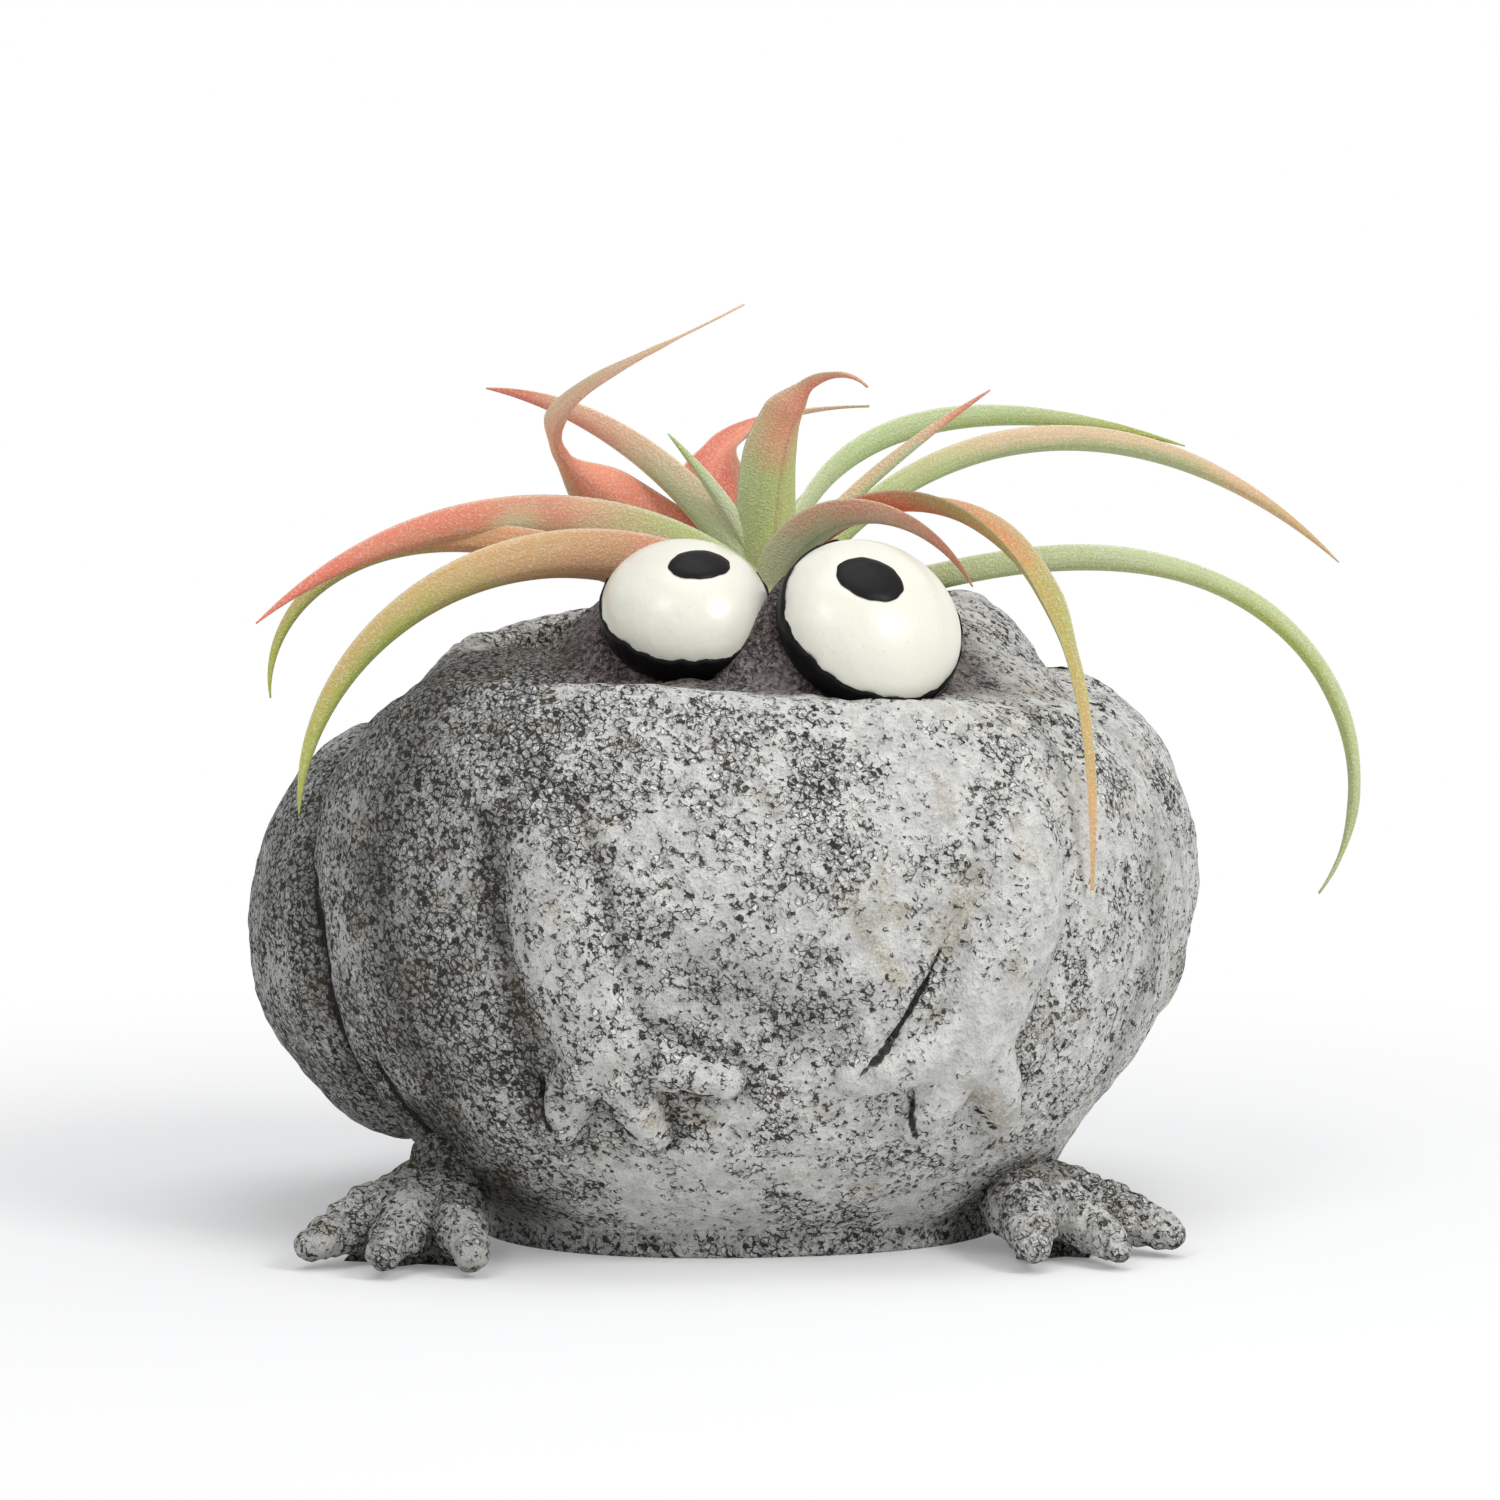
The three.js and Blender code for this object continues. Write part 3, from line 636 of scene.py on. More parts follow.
def leaf_paint(name, colours, roll=0):
    """Strap leaf: colours that run from root to tip, another along its upper edge, streaks, painted shade
    down the middle of each face, pale hems, a fine stipple of silvery scales, and a faint glow of its own
    colour as painted light."""
    material, paint, place = new_paint(name)
    around = paint.node("SeparateXYZ", {0: place.other(2)})
    along = around.other(1)
    wobble = noise(place, 90.0, 3.0)
    stops = [(0.22 + 0.22 * k, tint(*colour)) for k, colour in enumerate(colours[:4])]
    colour = paint.node("ValToRGB", {0: along + (wobble - 0.5) * 0.3}, stops=stops)
    across = paint.sum("COSINE", around * (2 * math.pi))
    upper = across * (1.0 if roll >= 0 else -1.0)
    fade = ease(along, 0.2, 0.46) * (1.0 - ease(along, 0.75, 0.95))
    colour = blend(ease(upper + 1.2 * (wobble - 0.5), 0.05, 0.85) * fade * 0.7, colour, colours[4])
    colour = blend(ease(upper * -1.0, 0.45, 1.0) * 0.35, colour, PALE)
    stretched = paint.node("CombineXYZ", {0: around * 46.0, 1: along * 5.0})
    streak = noise(stretched, 1.0)
    colour = blend(ease(streak, 0.35, 0.7) * 0.2, colour, shaded(colours[1], 0.8))
    rim = paint.sum("ABSOLUTE", across)
    # Darker copy of the leaf's colour down the middle of each face: painted shade in the fold
    colour = blend((1.0 - ease(rim, 0.02, 0.1)) * 0.3, colour, shaded(colours[2], 0.68))
    colour = blend(ease(rim, 0.92, 1.0) * 0.35, colour, LEAF_HEM)
    scales = ease(noise(place, 2600.0, 1.0), 0.42, 0.66)
    colour = blend(scales * 0.2, colour, LEAF_SCALE)
    dots = ease(noise(place, 3100.0, 1.0), 0.56, 0.68)
    colour = blend(dots * 0.16, colour, LEAF_DOT)
    height = scales * 0.6 + streak * 0.5
    # Faint glow of the leaf's own colour: painted light standing in for light that shines through the leaf
    finish_paint(paint, colour, 0.68, height, 0.00012, Specular_IOR_Level=0.2, Emission_Color=colour,
                 Emission_Strength=0.08)
    return material


def bark_paint(name):
    """Bark: dark brown with fibre bands and paler broken edges."""
    material, paint, place = new_paint(name)
    fibre = noise(place, 300.0, 5.0, 0.7)
    cloud = noise(place, 90.0)
    colour = blend(ease(fibre, 0.35, 0.7), (58, 40, 30), (128, 94, 66))
    colour = blend(ease(cloud, 0.5, 0.7) * 0.5, colour, (84, 74, 62))
    finish_paint(paint, colour, 0.9, fibre, 0.001)
    return material


def girth(height):
    """Share of the belly's full girth at a height: a superellipse that meets the base and the lip."""
    below = height < BELLY_HEIGHT
    end = np.where(below, BASE_HALF_WIDTH, LIP_HALF_WIDTH) / BELLY_HALF_WIDTH
    span = np.where(below, BELLY_HEIGHT - SKIRT_HEIGHT, LIP_HEIGHT - BELLY_HEIGHT)
    reach = span / (1 - end ** ROUNDNESS) ** (1 / ROUNDNESS)
    return (1 - (np.abs(height - BELLY_HEIGHT) / reach) ** ROUNDNESS) ** (1 / ROUNDNESS)


def toward_lip(height):
    """0 at the belly's widest height and 1 at the lip."""
    return np.maximum(0, (height - BELLY_HEIGHT) / (LIP_HEIGHT - BELLY_HEIGHT))


def belly_front(across, height):
    """How far back the belly's front lies at a place across and a height."""
    middle = LIP_MIDDLE * toward_lip(height)
    share = 1 - (np.abs(across) / (BELLY_HALF_WIDTH * girth(height))) ** ROUNDNESS
    return middle - (BELLY_FRONT * girth(height) + middle) * share ** (1 / ROUNDNESS)


def rings(angle, half, front, back, z_front, z_back, slant, middle):
    """Level rings, one row each: a superellipse with its own reach ahead and behind, whose height eases from
    back to front and slants from side to side."""
    half, front, back, z_front, z_back, slant, middle = (
        np.atleast_1d(value)[:, None] for value in (half, front, back, z_front, z_back, slant, middle))
    aside, ahead = np.sin(angle)[None], np.cos(angle)[None]
    size = (np.abs(aside) ** ROUNDNESS + np.abs(ahead) ** ROUNDNESS) ** (-1 / ROUNDNESS)
    x = half * size * aside
    y = middle + np.where(ahead > 0, -(front + middle), back - middle) * size * np.abs(ahead)
    turned = np.sign(ahead) * (size * np.abs(ahead)) ** (ROUNDNESS / 2)
    z = mix(z_back, z_front + slant * x, smoothstep(turned, -1, 1))
    return np.stack(np.broadcast_arrays(x, y, z), axis=-1)


def belly_rings(angle, height, inset):
    """Rings of the belly at heights, drawn in by an inset."""
    height = np.atleast_1d(np.asarray(height, float))
    size, lift = girth(height), toward_lip(height)
    return rings(
        angle, BELLY_HALF_WIDTH * size - inset, BELLY_FRONT * size - inset, BELLY_BACK * size - inset,
        height, height - LIP_BACK_DROP * lift, LIP_SLANT * lift, LIP_MIDDLE * lift)


def head_rings(angle, share):
    """Rings from the lip, at share 0, across the ledge and up the slope to the rim, at share 1."""
    lip = girth(np.array(LIP_HEIGHT))
    front, back = BELLY_FRONT * lip, BELLY_BACK * lip
    climb = smoothstep(share, LEDGE_WIDTH / (front - RIM_FRONT), 1)
    rise = np.sin(share * np.pi / 2)
    made = rings(
        angle, mix(LIP_HALF_WIDTH, RIM_HALF_WIDTH, share), mix(front, RIM_FRONT, share),
        mix(back, RIM_BACK, share), mix(LIP_HEIGHT, RIM_HEIGHT, climb),
        mix(LIP_HEIGHT - LIP_BACK_DROP, RIM_HEIGHT - RIM_BACK_DROP, rise),
        mix(LIP_SLANT, RIM_SLANT, share), mix(LIP_MIDDLE, RIM_MIDDLE, share))
    hollow = np.exp(-((share[:, None] - 0.36) / 0.14) ** 2) * smoothstep(np.abs(made[..., 0] + 27), 15, 6)
    made[..., 2] -= share[:, None] * rim_dip(made[..., 0]) + HOLLOW_DEPTH * hollow * (made[..., 1] < 0)
    return made


def rim_dip(across):
    """How far the rim sinks toward its left end."""
    return RIM_DIP * smoothstep(-across, 14, RIM_HALF_WIDTH)


def neck_rings(angle, inset, depth):
    """Rings of the rim and the neck of the well, drawn in and sunk below the rim."""
    made = rings(
        angle, RIM_HALF_WIDTH - inset, RIM_FRONT - inset, RIM_BACK - inset,
        RIM_HEIGHT - depth, RIM_HEIGHT - RIM_BACK_DROP - depth, RIM_SLANT, RIM_MIDDLE)
    made[..., 2] -= rim_dip(made[..., 0])
    return made


def plain_body():
    """The casting before it is carved: rings from the middle of the base over belly, lip and rim and down the
    well to its floor, softened outside. Gives the grid, its two middles, the rows seen from outside and how
    many of those are the belly's."""
    angle = circle(BODY_COLUMNS)
    angle = angle - CROWDING * np.sin(angle)
    base = belly_rings(angle, SKIRT_HEIGHT, -SKIRT_STEP)
    low = base * [1, 1, 0]
    sole_middle = np.array([*WELL_MIDDLE, 0.0])
    floor_middle = np.array([*WELL_MIDDLE, FLOOR_HEIGHT])
    underside = mix(sole_middle, low, np.linspace(0.2, 1, 4)[:, None, None])
    skirt = mix(low, base, np.linspace(0, 1, 6)[1:, None, None])
    belly = belly_rings(angle, np.linspace(SKIRT_HEIGHT, LIP_HEIGHT, 122)[1:-1], 0)
    head = head_rings(angle, np.linspace(0, 1, 36))
    rim = neck_rings(angle, np.array([1.5, 3.0, RIM_WIDTH]), 0)
    neck = neck_rings(angle, RIM_WIDTH, np.linspace(0, NECK_DEPTH, 8)[1:])
    wall = belly_rings(angle, [SHOULDER_HEIGHT, 40.0, FLOOR_HEIGHT + 2], WALL)
    floor_edge = wall[-1:] * [1, 1, 0] + [0, 0, FLOOR_HEIGHT]
    floor = mix(floor_edge, floor_middle, np.linspace(0, 0.8, 4)[:, None, None])
    grid = np.concatenate([underside, skirt, belly, head, rim, neck, wall, floor])
    first = len(underside) + len(skirt)
    outer = slice(first, first + len(belly) + len(head) + len(rim))
    for _ in range(3):
        soft = grid.copy()
        soft[1:-1] = 0.25 * grid[:-2] + 0.5 * grid[1:-1] + 0.25 * grid[2:]
        grid[outer] = soft[outer]
    return grid, (sole_middle, floor_middle), outer, len(belly)


def thigh_lift(points, out, centre):
    """How far a thigh's ellipsoid stands out from each point along its outward direction: the larger root of
    the square equation for where that line leaves the ellipsoid, and well below 0 where it misses it."""
    near = (points - centre) / THIGH_RADII
    along = out / THIGH_RADII
    square = np.sum(along * along, axis=-1)
    half = np.sum(near * along, axis=-1)
    over = np.sum(near * near, axis=-1) - 1
    inside = half * half - square * over
    root = (-half + np.sqrt(np.maximum(inside, 0))) / square
    return np.where((inside > 0) & (over < 0.5), root, -6)


def bar_lift(points, bar, side):
    """How far a round bar sunk in the belly stands out at each point: the height of its circle over the sunk
    middle, and well below 0 beside it. Also how far the point lies outside the bar's edge on the belly."""
    across, height, radius, proud = curve(bar, 12).T
    line = np.stack([side * across, belly_front(across, height), height], axis=-1)
    away, size = near_line(points, line, np.stack([radius, proud], axis=-1))
    radius, proud = size[..., 0], size[..., 1]
    lift = np.sqrt(np.maximum(radius ** 2 - away ** 2, 0)) - radius + proud
    half_width = np.sqrt(np.maximum(radius ** 2 - np.maximum(radius - proud, 0) ** 2, 0))
    return np.where(away < radius, lift, -4), away - half_width


def carve(points, out, front):
    """How far each point moves outward, and what this leaves on it: painted shade along the creases and in
    the hollows, darker on the left, and worn tops, paler on the right as painted light. Thighs, arms and
    fingers are joined on softly, and folds are cut after them."""
    raised, crease_shade, soil, bare = np.zeros((4, *points.shape[:2]))
    ahead = smoothstep(-points[..., 1], -42, -18)
    for side, centre in THIGHS.items():
        lift = thigh_lift(points, out, centre)
        groove = np.exp(-(lift / GROOVE_WIDTH) ** 2)
        # Painted shade in the thigh grooves and along the creases, darker on the left
        soil = np.maximum(soil, THIGH_SHADE[side] * ahead * groove)
        crease_shade = np.maximum(crease_shade, THIGH_SHADE[side] * ahead * np.exp(-(lift / CREASE_WIDTH) ** 2))
        raised = soft_max(raised, lift, 1.0) - GROOVE_DEPTH * groove
    for side in (-1, 1):
        for bar in (ARM, *FINGERS):
            lift, edge = bar_lift(points, bar, side)
            lift, edge = np.where(front, lift, -4), np.where(front, edge, 9)
            # Arm tops worn pale, paler on the right as painted light; painted shade beside the arms
            bare = np.maximum(bare, ARM_BARE_AND_LIT[side] * smoothstep(lift, 0.6, 2.6))
            hollow = np.exp(-((edge - 0.6) / 1.1) ** 2) * (raised < 1.2)
            soil = np.maximum(soil, ARM_SHADE[side] * hollow)
            raised = soft_max(raised, lift, 0.7)
    ragged = FOLD_WIDTH * (1 + layered(points, FOLD_LUMPS))
    for fold in FOLDS:
        away, share = beside(points, fold)
        fade = smoothstep(share, 0, 0.35) * smoothstep(share, 1, 0.8)
        cut = np.where(front, np.exp(-(away / ragged) ** 2) * fade, 0)
        raised = raised - FOLD_DEPTH * cut
        crease_shade = np.maximum(crease_shade, cut)
    return raised, crease_shade, soil, bare


def smears(points, front, rows):
    """The darkest of several smears on the belly's front, each fading with the distance from its path."""
    dark = [depth * np.exp(-(beside(points, path)[0] / width) ** 2) for path, width, depth in rows]
    return np.where(front, np.max(dark, axis=0), 0)


def weather(points, front, soil, bare):
    """Hollow shade, wear, stain and broad painted shade of each point. Painted shade in hollows stays off
    worn tops. The worn patches and the foot of the belly are barer, the right side is barer as painted light,
    and the left side gets broad painted shade."""
    soil = np.maximum(soil, smears(points, front, SHADED_HOLLOWS)) * (1 - smoothstep(bare, 0.2, 0.6))
    across, height = points[..., 0], points[..., 2]
    worn = [0.8 * front * np.exp(-((across - middle) / wide) ** 2 - ((height - level) / tall) ** 2)
            for middle, level, wide, tall in WORN]
    # The right side is made barer as painted light
    bare = np.max([bare, 0.4 * smoothstep(across, 22, 58), 0.3 * smoothstep(height, 28, 12), *worn], axis=0)
    # Broad painted shade on the left side
    return soil, bare, smears(points, front, STAINS), 0.9 * smoothstep(-across, 16, 62)


def press_seats(points):
    """Presses the stone flat under each eye, a little below its foot, and slopes it away beside the seat.
    Gives the points, and a gloss that fades with the distance from the eyes."""
    gloss = np.zeros(points.shape[:2])
    for radius, foot, _, _, look in map(eye_frame, EYES):
        off = points - foot
        height = off @ look
        away = np.linalg.norm(off - height[..., None] * look, axis=-1)
        under = away < radius + PAD_SPARE
        seat = np.where(under, -PAD_DROP, -PAD_DROP - 1.1 * (away - radius - PAD_SPARE))
        held = np.where((height > -12) & under, seat, np.maximum(height, seat))
        held = np.where((np.abs(height) < 14) & (away < radius + 12), held, height)
        points = points + (held - height)[..., None] * look
        near = np.exp(-(np.maximum(away - radius, 0) / 8.0) ** 2)
        gloss = np.maximum(gloss, near * (np.abs(height) < 12))
    return points, gloss


def body_surface():
    """The casting as one closed skin: the plain body, moved outward by what is carved and by soft lumps,
    drawn in below the thighs and pressed flat under the eyes."""
    grid, middles, outer, belly_rows = plain_body()
    points, out = grid[outer], grid_normals(grid)[outer]
    front = points[..., 1] < FRONT_EDGE
    raised, crease_shade, soil, bare = carve(points, out, front)
    soil, bare, stain, dusk = weather(points, front, soil, bare)
    points = points + out * (raised + layered(points, BODY_LUMPS))[..., None]
    low, wide = smoothstep(points[..., 2], *TUCK_HEIGHTS), smoothstep(np.abs(points[..., 0]), *TUCK_REACH)
    points[..., 0] -= np.sign(points[..., 0]) * THIGH_TUCK * low * wide
    points, gloss = press_seats(points)
    grid[outer] = points
    row = np.arange(len(points))[:, None]
    climb = smoothstep(row - belly_rows, 2, 7)
    rim = smoothstep(row, len(row) - 9, len(row) - 4)
    left = smoothstep(points[..., 0], 22, 4)
    # Painted shade on the front of the head up to the rim, darker on the left
    slope = smoothstep(-points[..., 1], -20, 4) * (climb * (0.2 + 0.45 * left) + 0.3 * rim * left)
    # The well inside gets broad painted shade
    marks = {key: np.full(grid.shape[:2], INSIDE_SHADE if key == "dusk" else 0.0) for key in STONE_MARKS}
    seen = (crease_shade, np.maximum(soil, slope), gloss * climb, bare, dusk, stain)
    for key, values in zip(STONE_MARKS, seen):
        marks[key][outer] = values
    return add_surface("frog_stone", grid, middles, marks=marks)


def limb(name, path, radii, base_shade):
    """Round limb: circles of an easing radius across a smooth path, closed by round ends and flattened at the
    sole. Painted shade darkens its root and the parts near the sole, and its end is worn pale."""
    rows, cols = 64, 44
    spine = curve(path, rows)
    radius = curve(np.reshape(radii, (-1, 1)), rows)[:, 0]
    steps = np.linalg.norm(np.diff(spine, axis=0), axis=-1)
    left = steps.sum() - np.concatenate([[0], np.cumsum(steps)])
    radius = radius * np.sqrt(1 - (1 - np.clip(left / (0.8 * radius), 0.04, 1)) ** 2)
    along = unit(np.gradient(spine, axis=0))
    aside = unit(np.cross(along, [0, 0, 1]))
    upward = np.cross(aside, along)
    angle = circle(cols)[:, None]
    around = aside[:, None] * np.cos(angle) - upward[:, None] * np.sin(angle)
    grid = spine[:, None] + around * radius[:, None, None]
    grid = grid + around * layered(grid, LIMB_LUMPS)[..., None]
    grid[..., 2] = np.maximum(grid[..., 2], SOLE)
    low = np.exp(-((grid[..., 2] - SOLE) / SOLE_SHADE) ** 2)
    share = np.linspace(0, 1, rows)[:, None]
    root = 0.45 * smoothstep(share, 0.5, 0.15)
    bare = 0.5 * smoothstep(share, 0.75, 1) * np.ones_like(low)
    # Painted shade at the root and near the sole; broad painted shade near the sole
    marks = {"soil": base_shade + root + 0.6 * low, "bare": bare, "dusk": base_shade + 0.4 * low}
    tip = spine[-1] * [1, 1, 0] + [0, 0, max(spine[-1][2], SOLE)]
    return add_surface(name, grid, (spine[0], tip), marks=marks)


def foot_paths(side):
    """The shank that comes out under the belly, and the toes that spread from the ankle."""
    ankle = np.array(ANKLES[side])
    yield "shank", SHANKS[side], SHANK_RADII, FOOT_SHADE[side] + SHANK_SHADE
    for number, (bearing, length) in enumerate(TOES, 1):
        turn = math.radians(bearing) * side
        reach = length * np.array([math.sin(turn), -math.cos(turn)])
        path = [(*(ankle + share * reach), height) for share, height in zip((0, 0.5, 1), TOE_HEIGHTS)]
        yield f"toe_{number}", path, TOE_RADII, FOOT_SHADE[side]


def web_surface(name, side):
    """Web of a foot: a fan from the ankle over the bearings of the toes, highest at the ankle, with a hem
    that dips between the toes and comes down to the sole."""
    rows, cols = 40, 120
    share = np.linspace(0.06, 1, rows)[:, None]
    turn = np.arange(cols) / cols
    lower = turn >= 0.5
    start, end = WEB_BEARINGS
    bearing = np.where(lower, mix(end, start, 2 * turn - 1), mix(start, end, 2 * turn))
    (first, length), (last, _) = TOES[0], TOES[-1]
    between = np.abs(np.sin(2 * np.pi * (bearing - first) / (last - first)))
    reach = length * WEB_REACH * (1 - 0.18 * between) * share
    angle = np.radians(bearing) * side
    x, y = ANKLES[side]
    hem = np.sqrt(np.maximum(1 - share ** 6, 0))
    drape = mix(WEB_TOP, WEB_HEIGHT, share ** 0.7) * hem - 0.8 * between * share
    edge = np.sqrt(np.clip(1 - (np.abs(2 * bearing - start - end) / (end - start)) ** 6, 0, 1))
    z = np.where(lower, SOLE, np.maximum(drape * edge, SOLE + 0.02))
    grid = np.stack([x + np.sin(angle) * reach, y - np.cos(angle) * reach, z], axis=-1)
    grid[..., 2] += np.where(lower, 0, layered(grid, WEB_LUMPS) * smoothstep(z, SOLE, SOLE + 2))
    if side > 0:
        grid = grid[:, ::-1]
    low = np.exp(-((grid[..., 2] - SOLE) / SOLE_SHADE) ** 2)
    # Painted shade over the web, darker near the sole
    marks = {"soil": 0.35 + 0.4 * low, "dusk": 0.3 + 0.3 * low}
    return add_surface(name, grid, (grid[0].mean(axis=0), grid[-1].mean(axis=0)), marks=marks)


def eye_frame(side):
    """Radius and foot of an eye, and its directions to the right, far and along its look."""
    radius, foot, look = EYES[side][:3]
    look = unit(np.array(look))
    right = unit(np.array([1.0, 0, 0]) - look[0] * look)
    return radius, np.array(foot), right, np.cross(look, right), look


def turned(frame_of_eye, radius, height):
    """Surface of revolution about an eye's look: a circle of each radius at each height above its foot."""
    _, foot, right, far, look = frame_of_eye
    angle = circle(EYE_COLUMNS)[:, None]
    around = right * np.cos(angle) + far * np.sin(angle)
    return foot + radius[:, None, None] * around[None] + height[:, None, None] * look


def dome_surface(side):
    """Eye dome: a quarter ellipse turned about the eye's look, with a flat foot."""
    eye = eye_frame(side)
    bend = np.linspace(0, np.pi / 2, 40)[:-1]
    radius = np.concatenate([[eye[0] * 0.5], eye[0] * np.cos(bend)])
    height = np.concatenate([[0], EYE_RISE * np.sin(bend)])
    grid = turned(eye, radius, height)
    return add_surface(f"{side}_eye_dome", grid, (eye[1], eye[1] + EYE_RISE * eye[4]))


def collar_surface(side):
    """Black collar: a rounded band turned about the eye's look under the dome, wavy at its upper edge."""
    eye = eye_frame(side)
    out, rise = np.array(COLLAR_OUTSIDE).T
    radius = np.concatenate([[COLLAR_BORE], eye[0] + out, [COLLAR_BORE]])
    height = np.concatenate([[-COLLAR_DROP], rise, [COLLAR_TOP]])
    grid = turned(eye, radius, height)
    wave = ripple(circle(EYE_COLUMNS), COLLAR_WAVES)
    grid[4:7] += wave[None, :, None] * eye[4] * np.array([0.5, 1, 1])[:, None, None]
    return add_surface(f"{side}_eye_collar", grid)


def pupil_surface(side):
    """Pupil: an oval with a slightly uneven edge laid on the dome, thickest in the middle."""
    radius, foot, right, far, look = eye_frame(side)
    half, (shift, climb), turn = EYES[side][3:]
    angle = circle(72)
    under, over = np.linspace(0.6, 1, 8), np.linspace(1, 0.05, 18)
    share = np.concatenate([under, over])
    thick = PUPIL_EDGE + np.concatenate([0 * under, PUPIL_SWELL * (1 - over ** 6)])
    oval = (half[0] * np.cos(angle) + 1j * half[1] * np.sin(angle)) * np.exp(1j * math.radians(turn))
    oval = share[:, None] * oval * (1 + ripple(angle, PUPIL_WAVES))
    across, ahead = shift + oval.real, climb + oval.imag
    height = EYE_RISE * np.sqrt(1 - (across ** 2 + ahead ** 2) / radius ** 2) + thick[:, None]
    grid = foot + across[..., None] * right + ahead[..., None] * far + height[..., None] * look
    return add_surface(f"{side}_eye_pupil", grid, (grid[0].mean(axis=0), grid[-1].mean(axis=0)))


def leaf_surface(name):
    """Strap leaf: a channelled lens carried along a line whose rise falls and whose bearing turns with the
    share along it, narrowing to a hair at the tip."""
    bearing, swing, root, rise, droop, late, length, width, roll = LEAVES[name][:9]
    rows, cols = 110, 28
    share = np.linspace(0, 1, rows)

    def heading(at):
        lean = np.radians(rise - droop * at ** late)
        turn = np.radians(bearing + swing * at)
        return np.stack([np.cos(lean) * np.cos(turn), np.cos(lean) * np.sin(turn), np.sin(lean)], axis=-1)

    steps = heading((share[1:] + share[:-1]) / 2) * length / (rows - 1)
    spine = np.vstack([np.zeros(3), np.cumsum(steps, axis=0)]) + [*CROWN_PLACE, BED_TOP + root]
    along = heading(share)
    turn = np.radians(bearing + swing * share)
    level = np.stack([-np.sin(turn), np.cos(turn), np.zeros(rows)], axis=-1)
    tilt = np.radians(curve_at(share, ROLLS.get(name, ((0, roll), (1, roll)))))[:, None]
    aside = level * np.cos(tilt) + np.cross(along, level) * np.sin(tilt)
    upward = np.cross(along, aside)
    taper = curve_at(share, BLADES[name]) if name in BLADES else 1 - share ** LEAF_TAPER
    blade = LEAF_SPARE * width * taper + LEAF_HAIR
    thick = LEAF_THICKNESS * (1 - 0.8 * share)
    angle = circle(cols)
    across = np.cos(angle)[None]
    lift = LEAF_CHANNEL * blade[:, None] * (across ** 2 - 0.5) + thick[:, None] / 2 * np.sin(angle)
    grid = spine[:, None] + (aside[:, None] * (across * blade[:, None] / 2)[..., None]
                             + upward[:, None] * lift[..., None])
    return add_surface(name + "_strap", grid, (spine[0], spine[-1]))


def crown_surface():
    """Crown of the plant: a bulb turned about the vertical, fluted by the bases of the leaves."""
    rows, cols = 40, 72
    share = np.linspace(0.02, 0.98, rows)[:, None]
    angle = circle(cols)
    flutes = 1 - 0.05 * np.cos(7 * angle + 5 * share)
    radius = mix(CROWN_NECK, CROWN_RADIUS, np.sin(np.pi * share)) * flutes
    foot = np.array([*CROWN_PLACE, CROWN_FOOT])
    height = np.broadcast_to(CROWN_HEIGHT * share, radius.shape)
    grid = foot + np.stack([radius * np.cos(angle), radius * np.sin(angle), height], axis=-1)
    return add_surface("plant_bulb", grid, (foot, foot + [0, 0, CROWN_HEIGHT]))


def bed_surface():
    """Bed of bark under the chips: the well's outline drawn in by steps to a middle, roughened by lumps."""
    edge = RIM_WIDTH + BED_GAP
    inset = np.concatenate([[RIM_WIDTH + 8, edge], np.linspace(edge, RIM_WIDTH + 15, 20)])
    grid = neck_rings(circle(180), inset, 0)
    grid[..., 2] = BED_TOP - 0.6 + layered(grid * [1, 1, 0], BED_LUMPS)
    grid[:2, :, 2] = BED_TOP - BED_DEPTH
    middle = grid[-1].mean(axis=0)
    return add_surface("bark_filling", grid, (middle * [1, 1, 0] + [0, 0, BED_TOP - BED_DEPTH], middle))


def bark_chips():
    """Bark chips: flat superellipsoids, each with its own place, turn, tilt and size, in one mesh of whole
    arrays. Chips that would lie under the crown are left out."""
    rows, cols = 5, 8
    draw = np.random.default_rng(12)
    angle = draw.uniform(0, 2 * np.pi, CHIP_COUNT)
    reach = np.sqrt(draw.uniform(0.02, 1, CHIP_COUNT))
    wide, deep = CHIP_SPREAD
    centre = np.stack([wide * reach * np.cos(angle), RIM_MIDDLE + deep * reach * np.sin(angle)], axis=-1)
    centre = centre[np.linalg.norm(centre - CROWN_PLACE, axis=-1) > CROWN_RADIUS + CHIP_CLEARANCE]
    count = len(centre)
    size = draw.uniform(*CHIP_SIZES, (count, 1)) * np.array(CHIP_SHARES)
    lean = np.linspace(-1.35, 1.35, rows)[:, None]
    turn = circle(cols)
    shape = np.stack(np.broadcast_arrays(
        np.cos(lean) ** 0.5 * np.cos(turn), np.cos(lean) ** 0.5 * np.sin(turn), np.sin(lean)), axis=-1)
    shape = shape[None] * size[:, None, None] * draw.uniform(0.85, 1.15, (count, rows, cols, 1))
    spin, tip = draw.uniform(0, 2 * np.pi, (count, 1, 1)), draw.uniform(-0.35, 0.35, (count, 1, 1))
    x, y, z = np.moveaxis(shape, -1, 0)
    tipped = (x + 1j * z) * np.exp(1j * tip)
    spun = (tipped.real + 1j * y) * np.exp(1j * spin)
    place = np.stack([spun.real + centre[:, 0, None, None], spun.imag + centre[:, 1, None, None],
                      tipped.imag + BED_TOP + draw.uniform(-0.2, 0.7, (count, 1, 1))], axis=-1)
    index = np.arange(count * rows * cols).reshape(count, rows, cols)
    ahead = np.roll(index, -1, 2)
    sides = np.stack([index[:, :-1], ahead[:, :-1], ahead[:, 1:], index[:, 1:]], -1)
    caps = index[:, 0, ::-1].tolist() + index[:, -1].tolist()
    return new_piece("bark_chips", place.reshape(-1, 3) * MM, sides.reshape(-1, 4).tolist() + caps)


def seen_rays(paint):
    """1 for rays from the camera and those that gloss or glass sends on, 0 for light that falls on things."""
    path = paint.node("LightPath")
    return path + path.other("Is Glossy Ray") + path.other("Is Transmission Ray")


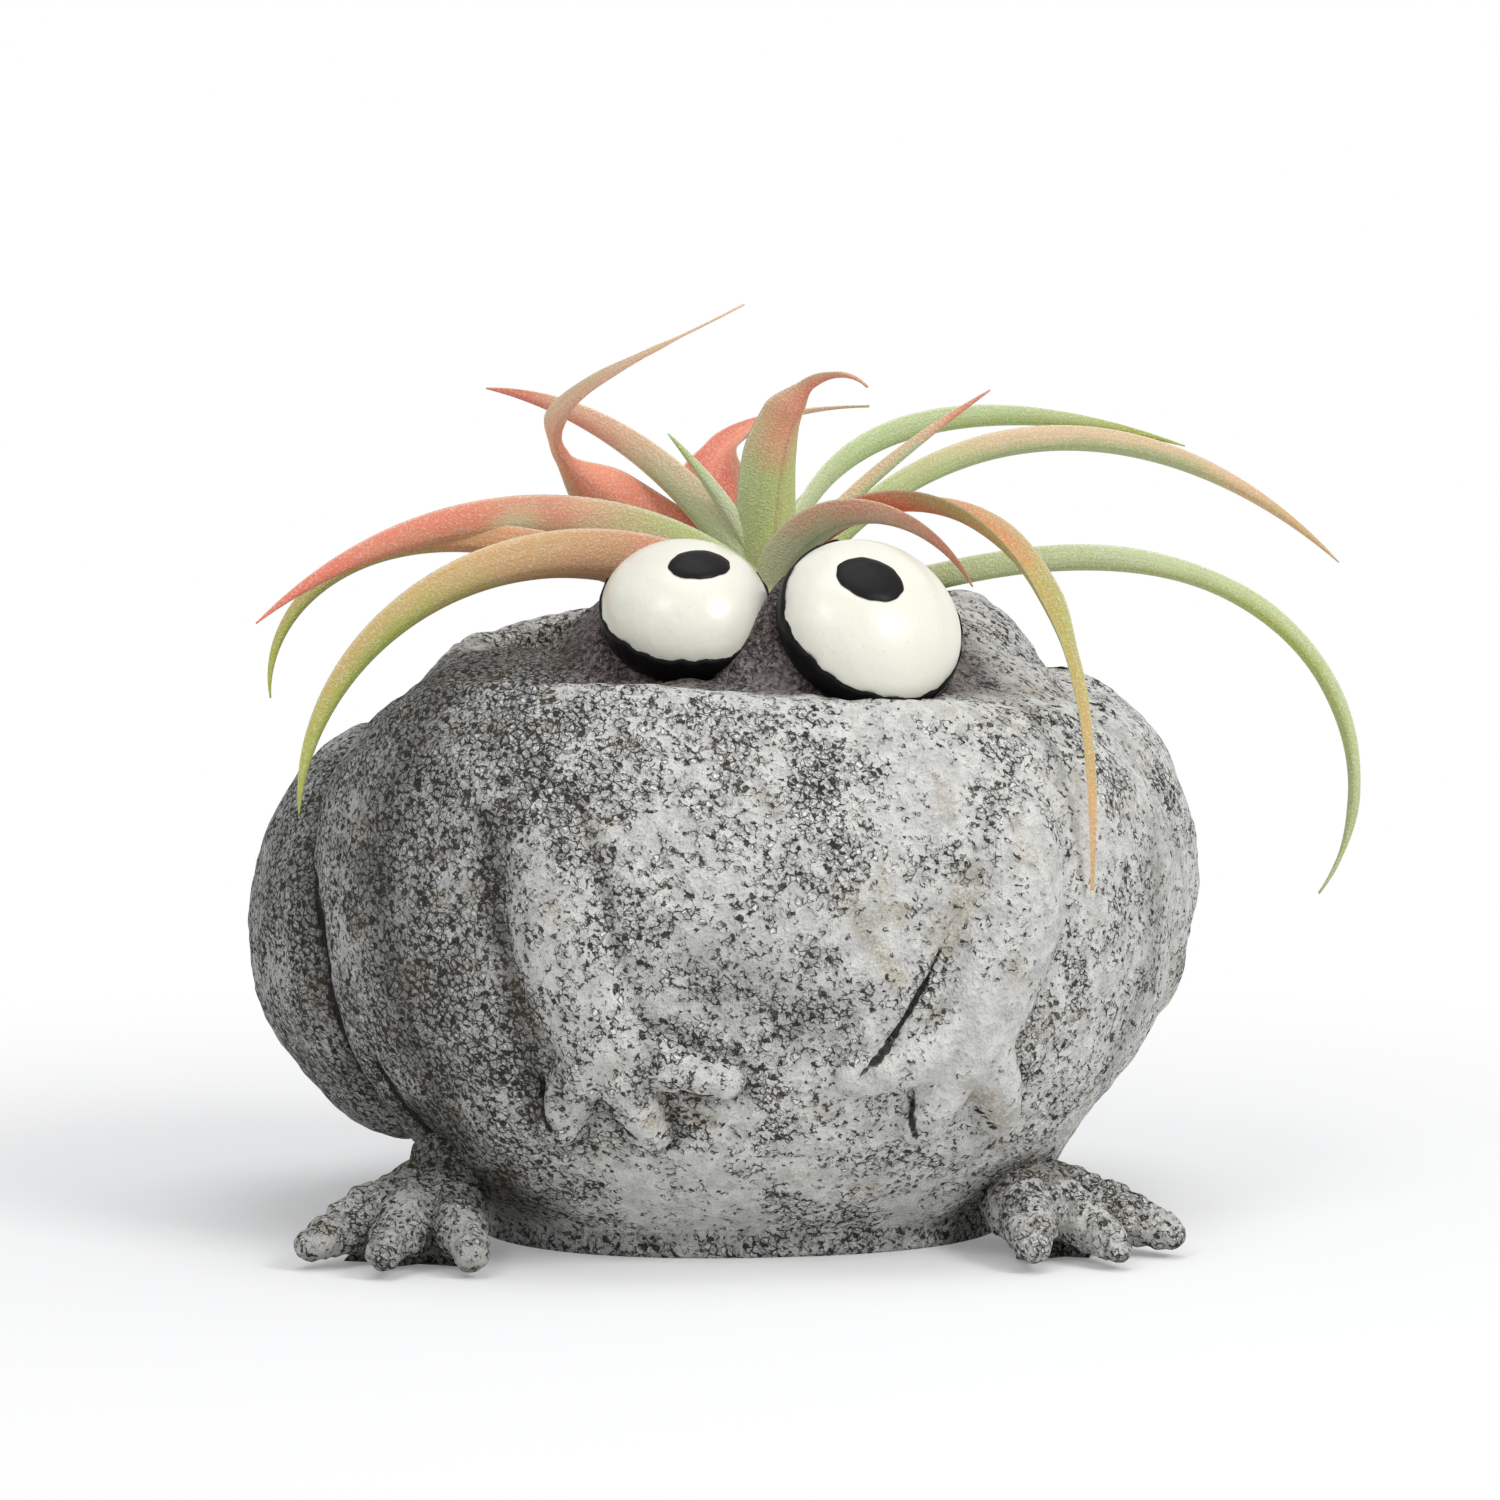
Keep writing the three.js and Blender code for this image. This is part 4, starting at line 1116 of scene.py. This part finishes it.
def add_floor():
    """Pale floor that takes the shadow near the planter and eases to plain white far from it."""
    floor = new_piece("floor", [(-6, -6, 0), (6, -6, 0), (6, 6, 0), (-6, 6, 0)], [(0, 1, 2, 3)])
    material, paint, place = new_paint("pale floor")
    away = paint.node("VectorMath", {0: place}, out=1, operation="LENGTH")
    matt = paint.node("BsdfDiffuse", {"Color": tint(*FLOOR_WHITE)})
    white = paint.node("Emission", {"Strength": 1.0})
    share = (0.2 + 0.8 * ease(away, 0.1, 0.32)) * seen_rays(paint)
    surface = paint.node("MixShader", {0: share, 1: matt, 2: white})
    paint.node("OutputMaterial", {"Surface": surface})
    floor.data.materials.append(material)


def add_lamp(name, place, size, power):
    """Square soft lamp that looks at the middle of the planter."""
    lamp = bpy.data.lights.new(name, "AREA")
    lamp.size, lamp.energy = size, power
    new_object(name, lamp).matrix_world = look_from(place, LAMP_AIM)


def look_from(place, aim):
    """Placing of something at a place whose -Z looks at the aim and whose X stays level."""
    back = unit(np.subtract(place, aim))
    right = unit(np.cross([0, 0, 1], back))
    matrix = np.eye(4)
    matrix[:3, :3] = np.stack([right, np.cross(back, right), back], axis=-1)
    matrix[:3, 3] = place
    return Matrix(matrix.tolist())


def add_camera():
    """Long lens at the photograph's place."""
    lens = bpy.data.cameras.new("camera")
    lens.lens, lens.sensor_width, lens.clip_start = 150, 36, 0.01
    camera = new_object("camera", lens)
    camera.matrix_world = look_from(CAMERA_PLACE, CAMERA_AIM)
    bpy.context.scene.camera = camera


def add_world():
    """White surroundings for what the camera sees, and a softer even light for the rest."""
    world = bpy.data.worlds.new("studio")
    world.use_nodes = True
    world.node_tree.nodes.clear()
    paint = Wire(world.node_tree)
    light = paint.node("Background", {"Color": (0.95, 0.97, 1, 1), "Strength": 0.5})
    white = paint.node("Background", {"Color": (1, 1, 1, 1), "Strength": 1.0})
    surface = paint.node("MixShader", {0: seen_rays(paint), 1: light, 2: white})
    paint.node("OutputWorld", {"Surface": surface})
    bpy.context.scene.world = world


STONE = stone_paint("cast stone", 0.0)
FOOT_STONE = stone_paint("stained cast stone", 0.4)
CREAM = glaze_paint("cream glaze", (237, 235, 221), (170, 160, 136), 0.3, 0.4)
BLACK = glaze_paint("black glaze", (14, 14, 15), (70, 70, 70), 0.4, 0.05)
BARK = bark_paint("bark")

fit(body_surface(), "planter", "stone", STONE, "frog_body")
for side, word in ((-1, "left"), (1, "right")):
    for part, path, radii, base_shade in foot_paths(side):
        fit(limb(f"{word}_{part}", path, radii, base_shade), "planter", "stone", FOOT_STONE)
    fit(web_surface(f"{word}_web", side), "planter", "stone", FOOT_STONE)
    fit(dome_surface(word), "planter", "eye_white", CREAM, f"{word}_eye")
    fit(collar_surface(word), "planter", "eye_black", BLACK, f"{word}_eye_rim")
    fit(pupil_surface(word), "planter", "eye_black", BLACK, f"{word}_pupil")
fit(bed_surface(), "planter", "bark", BARK, "bark_bed")
fit(bark_chips(), "planter", "bark", BARK)
CROWN = leaf_paint("crown", (PALE, GREEN, PALE, PALE, GREEN))
fit(crown_surface(), "air_plant", "crown", CROWN, "plant_crown")
for leaf, row in LEAVES.items():
    fit(leaf_surface(leaf), "air_plant", "leaf", leaf_paint(leaf.replace("_", " "), row[9], row[8]), leaf)

add_floor()
add_world()
for lamp in LAMPS:
    add_lamp(*lamp)
add_camera()
bpy.context.scene.view_settings.view_transform = "Standard"
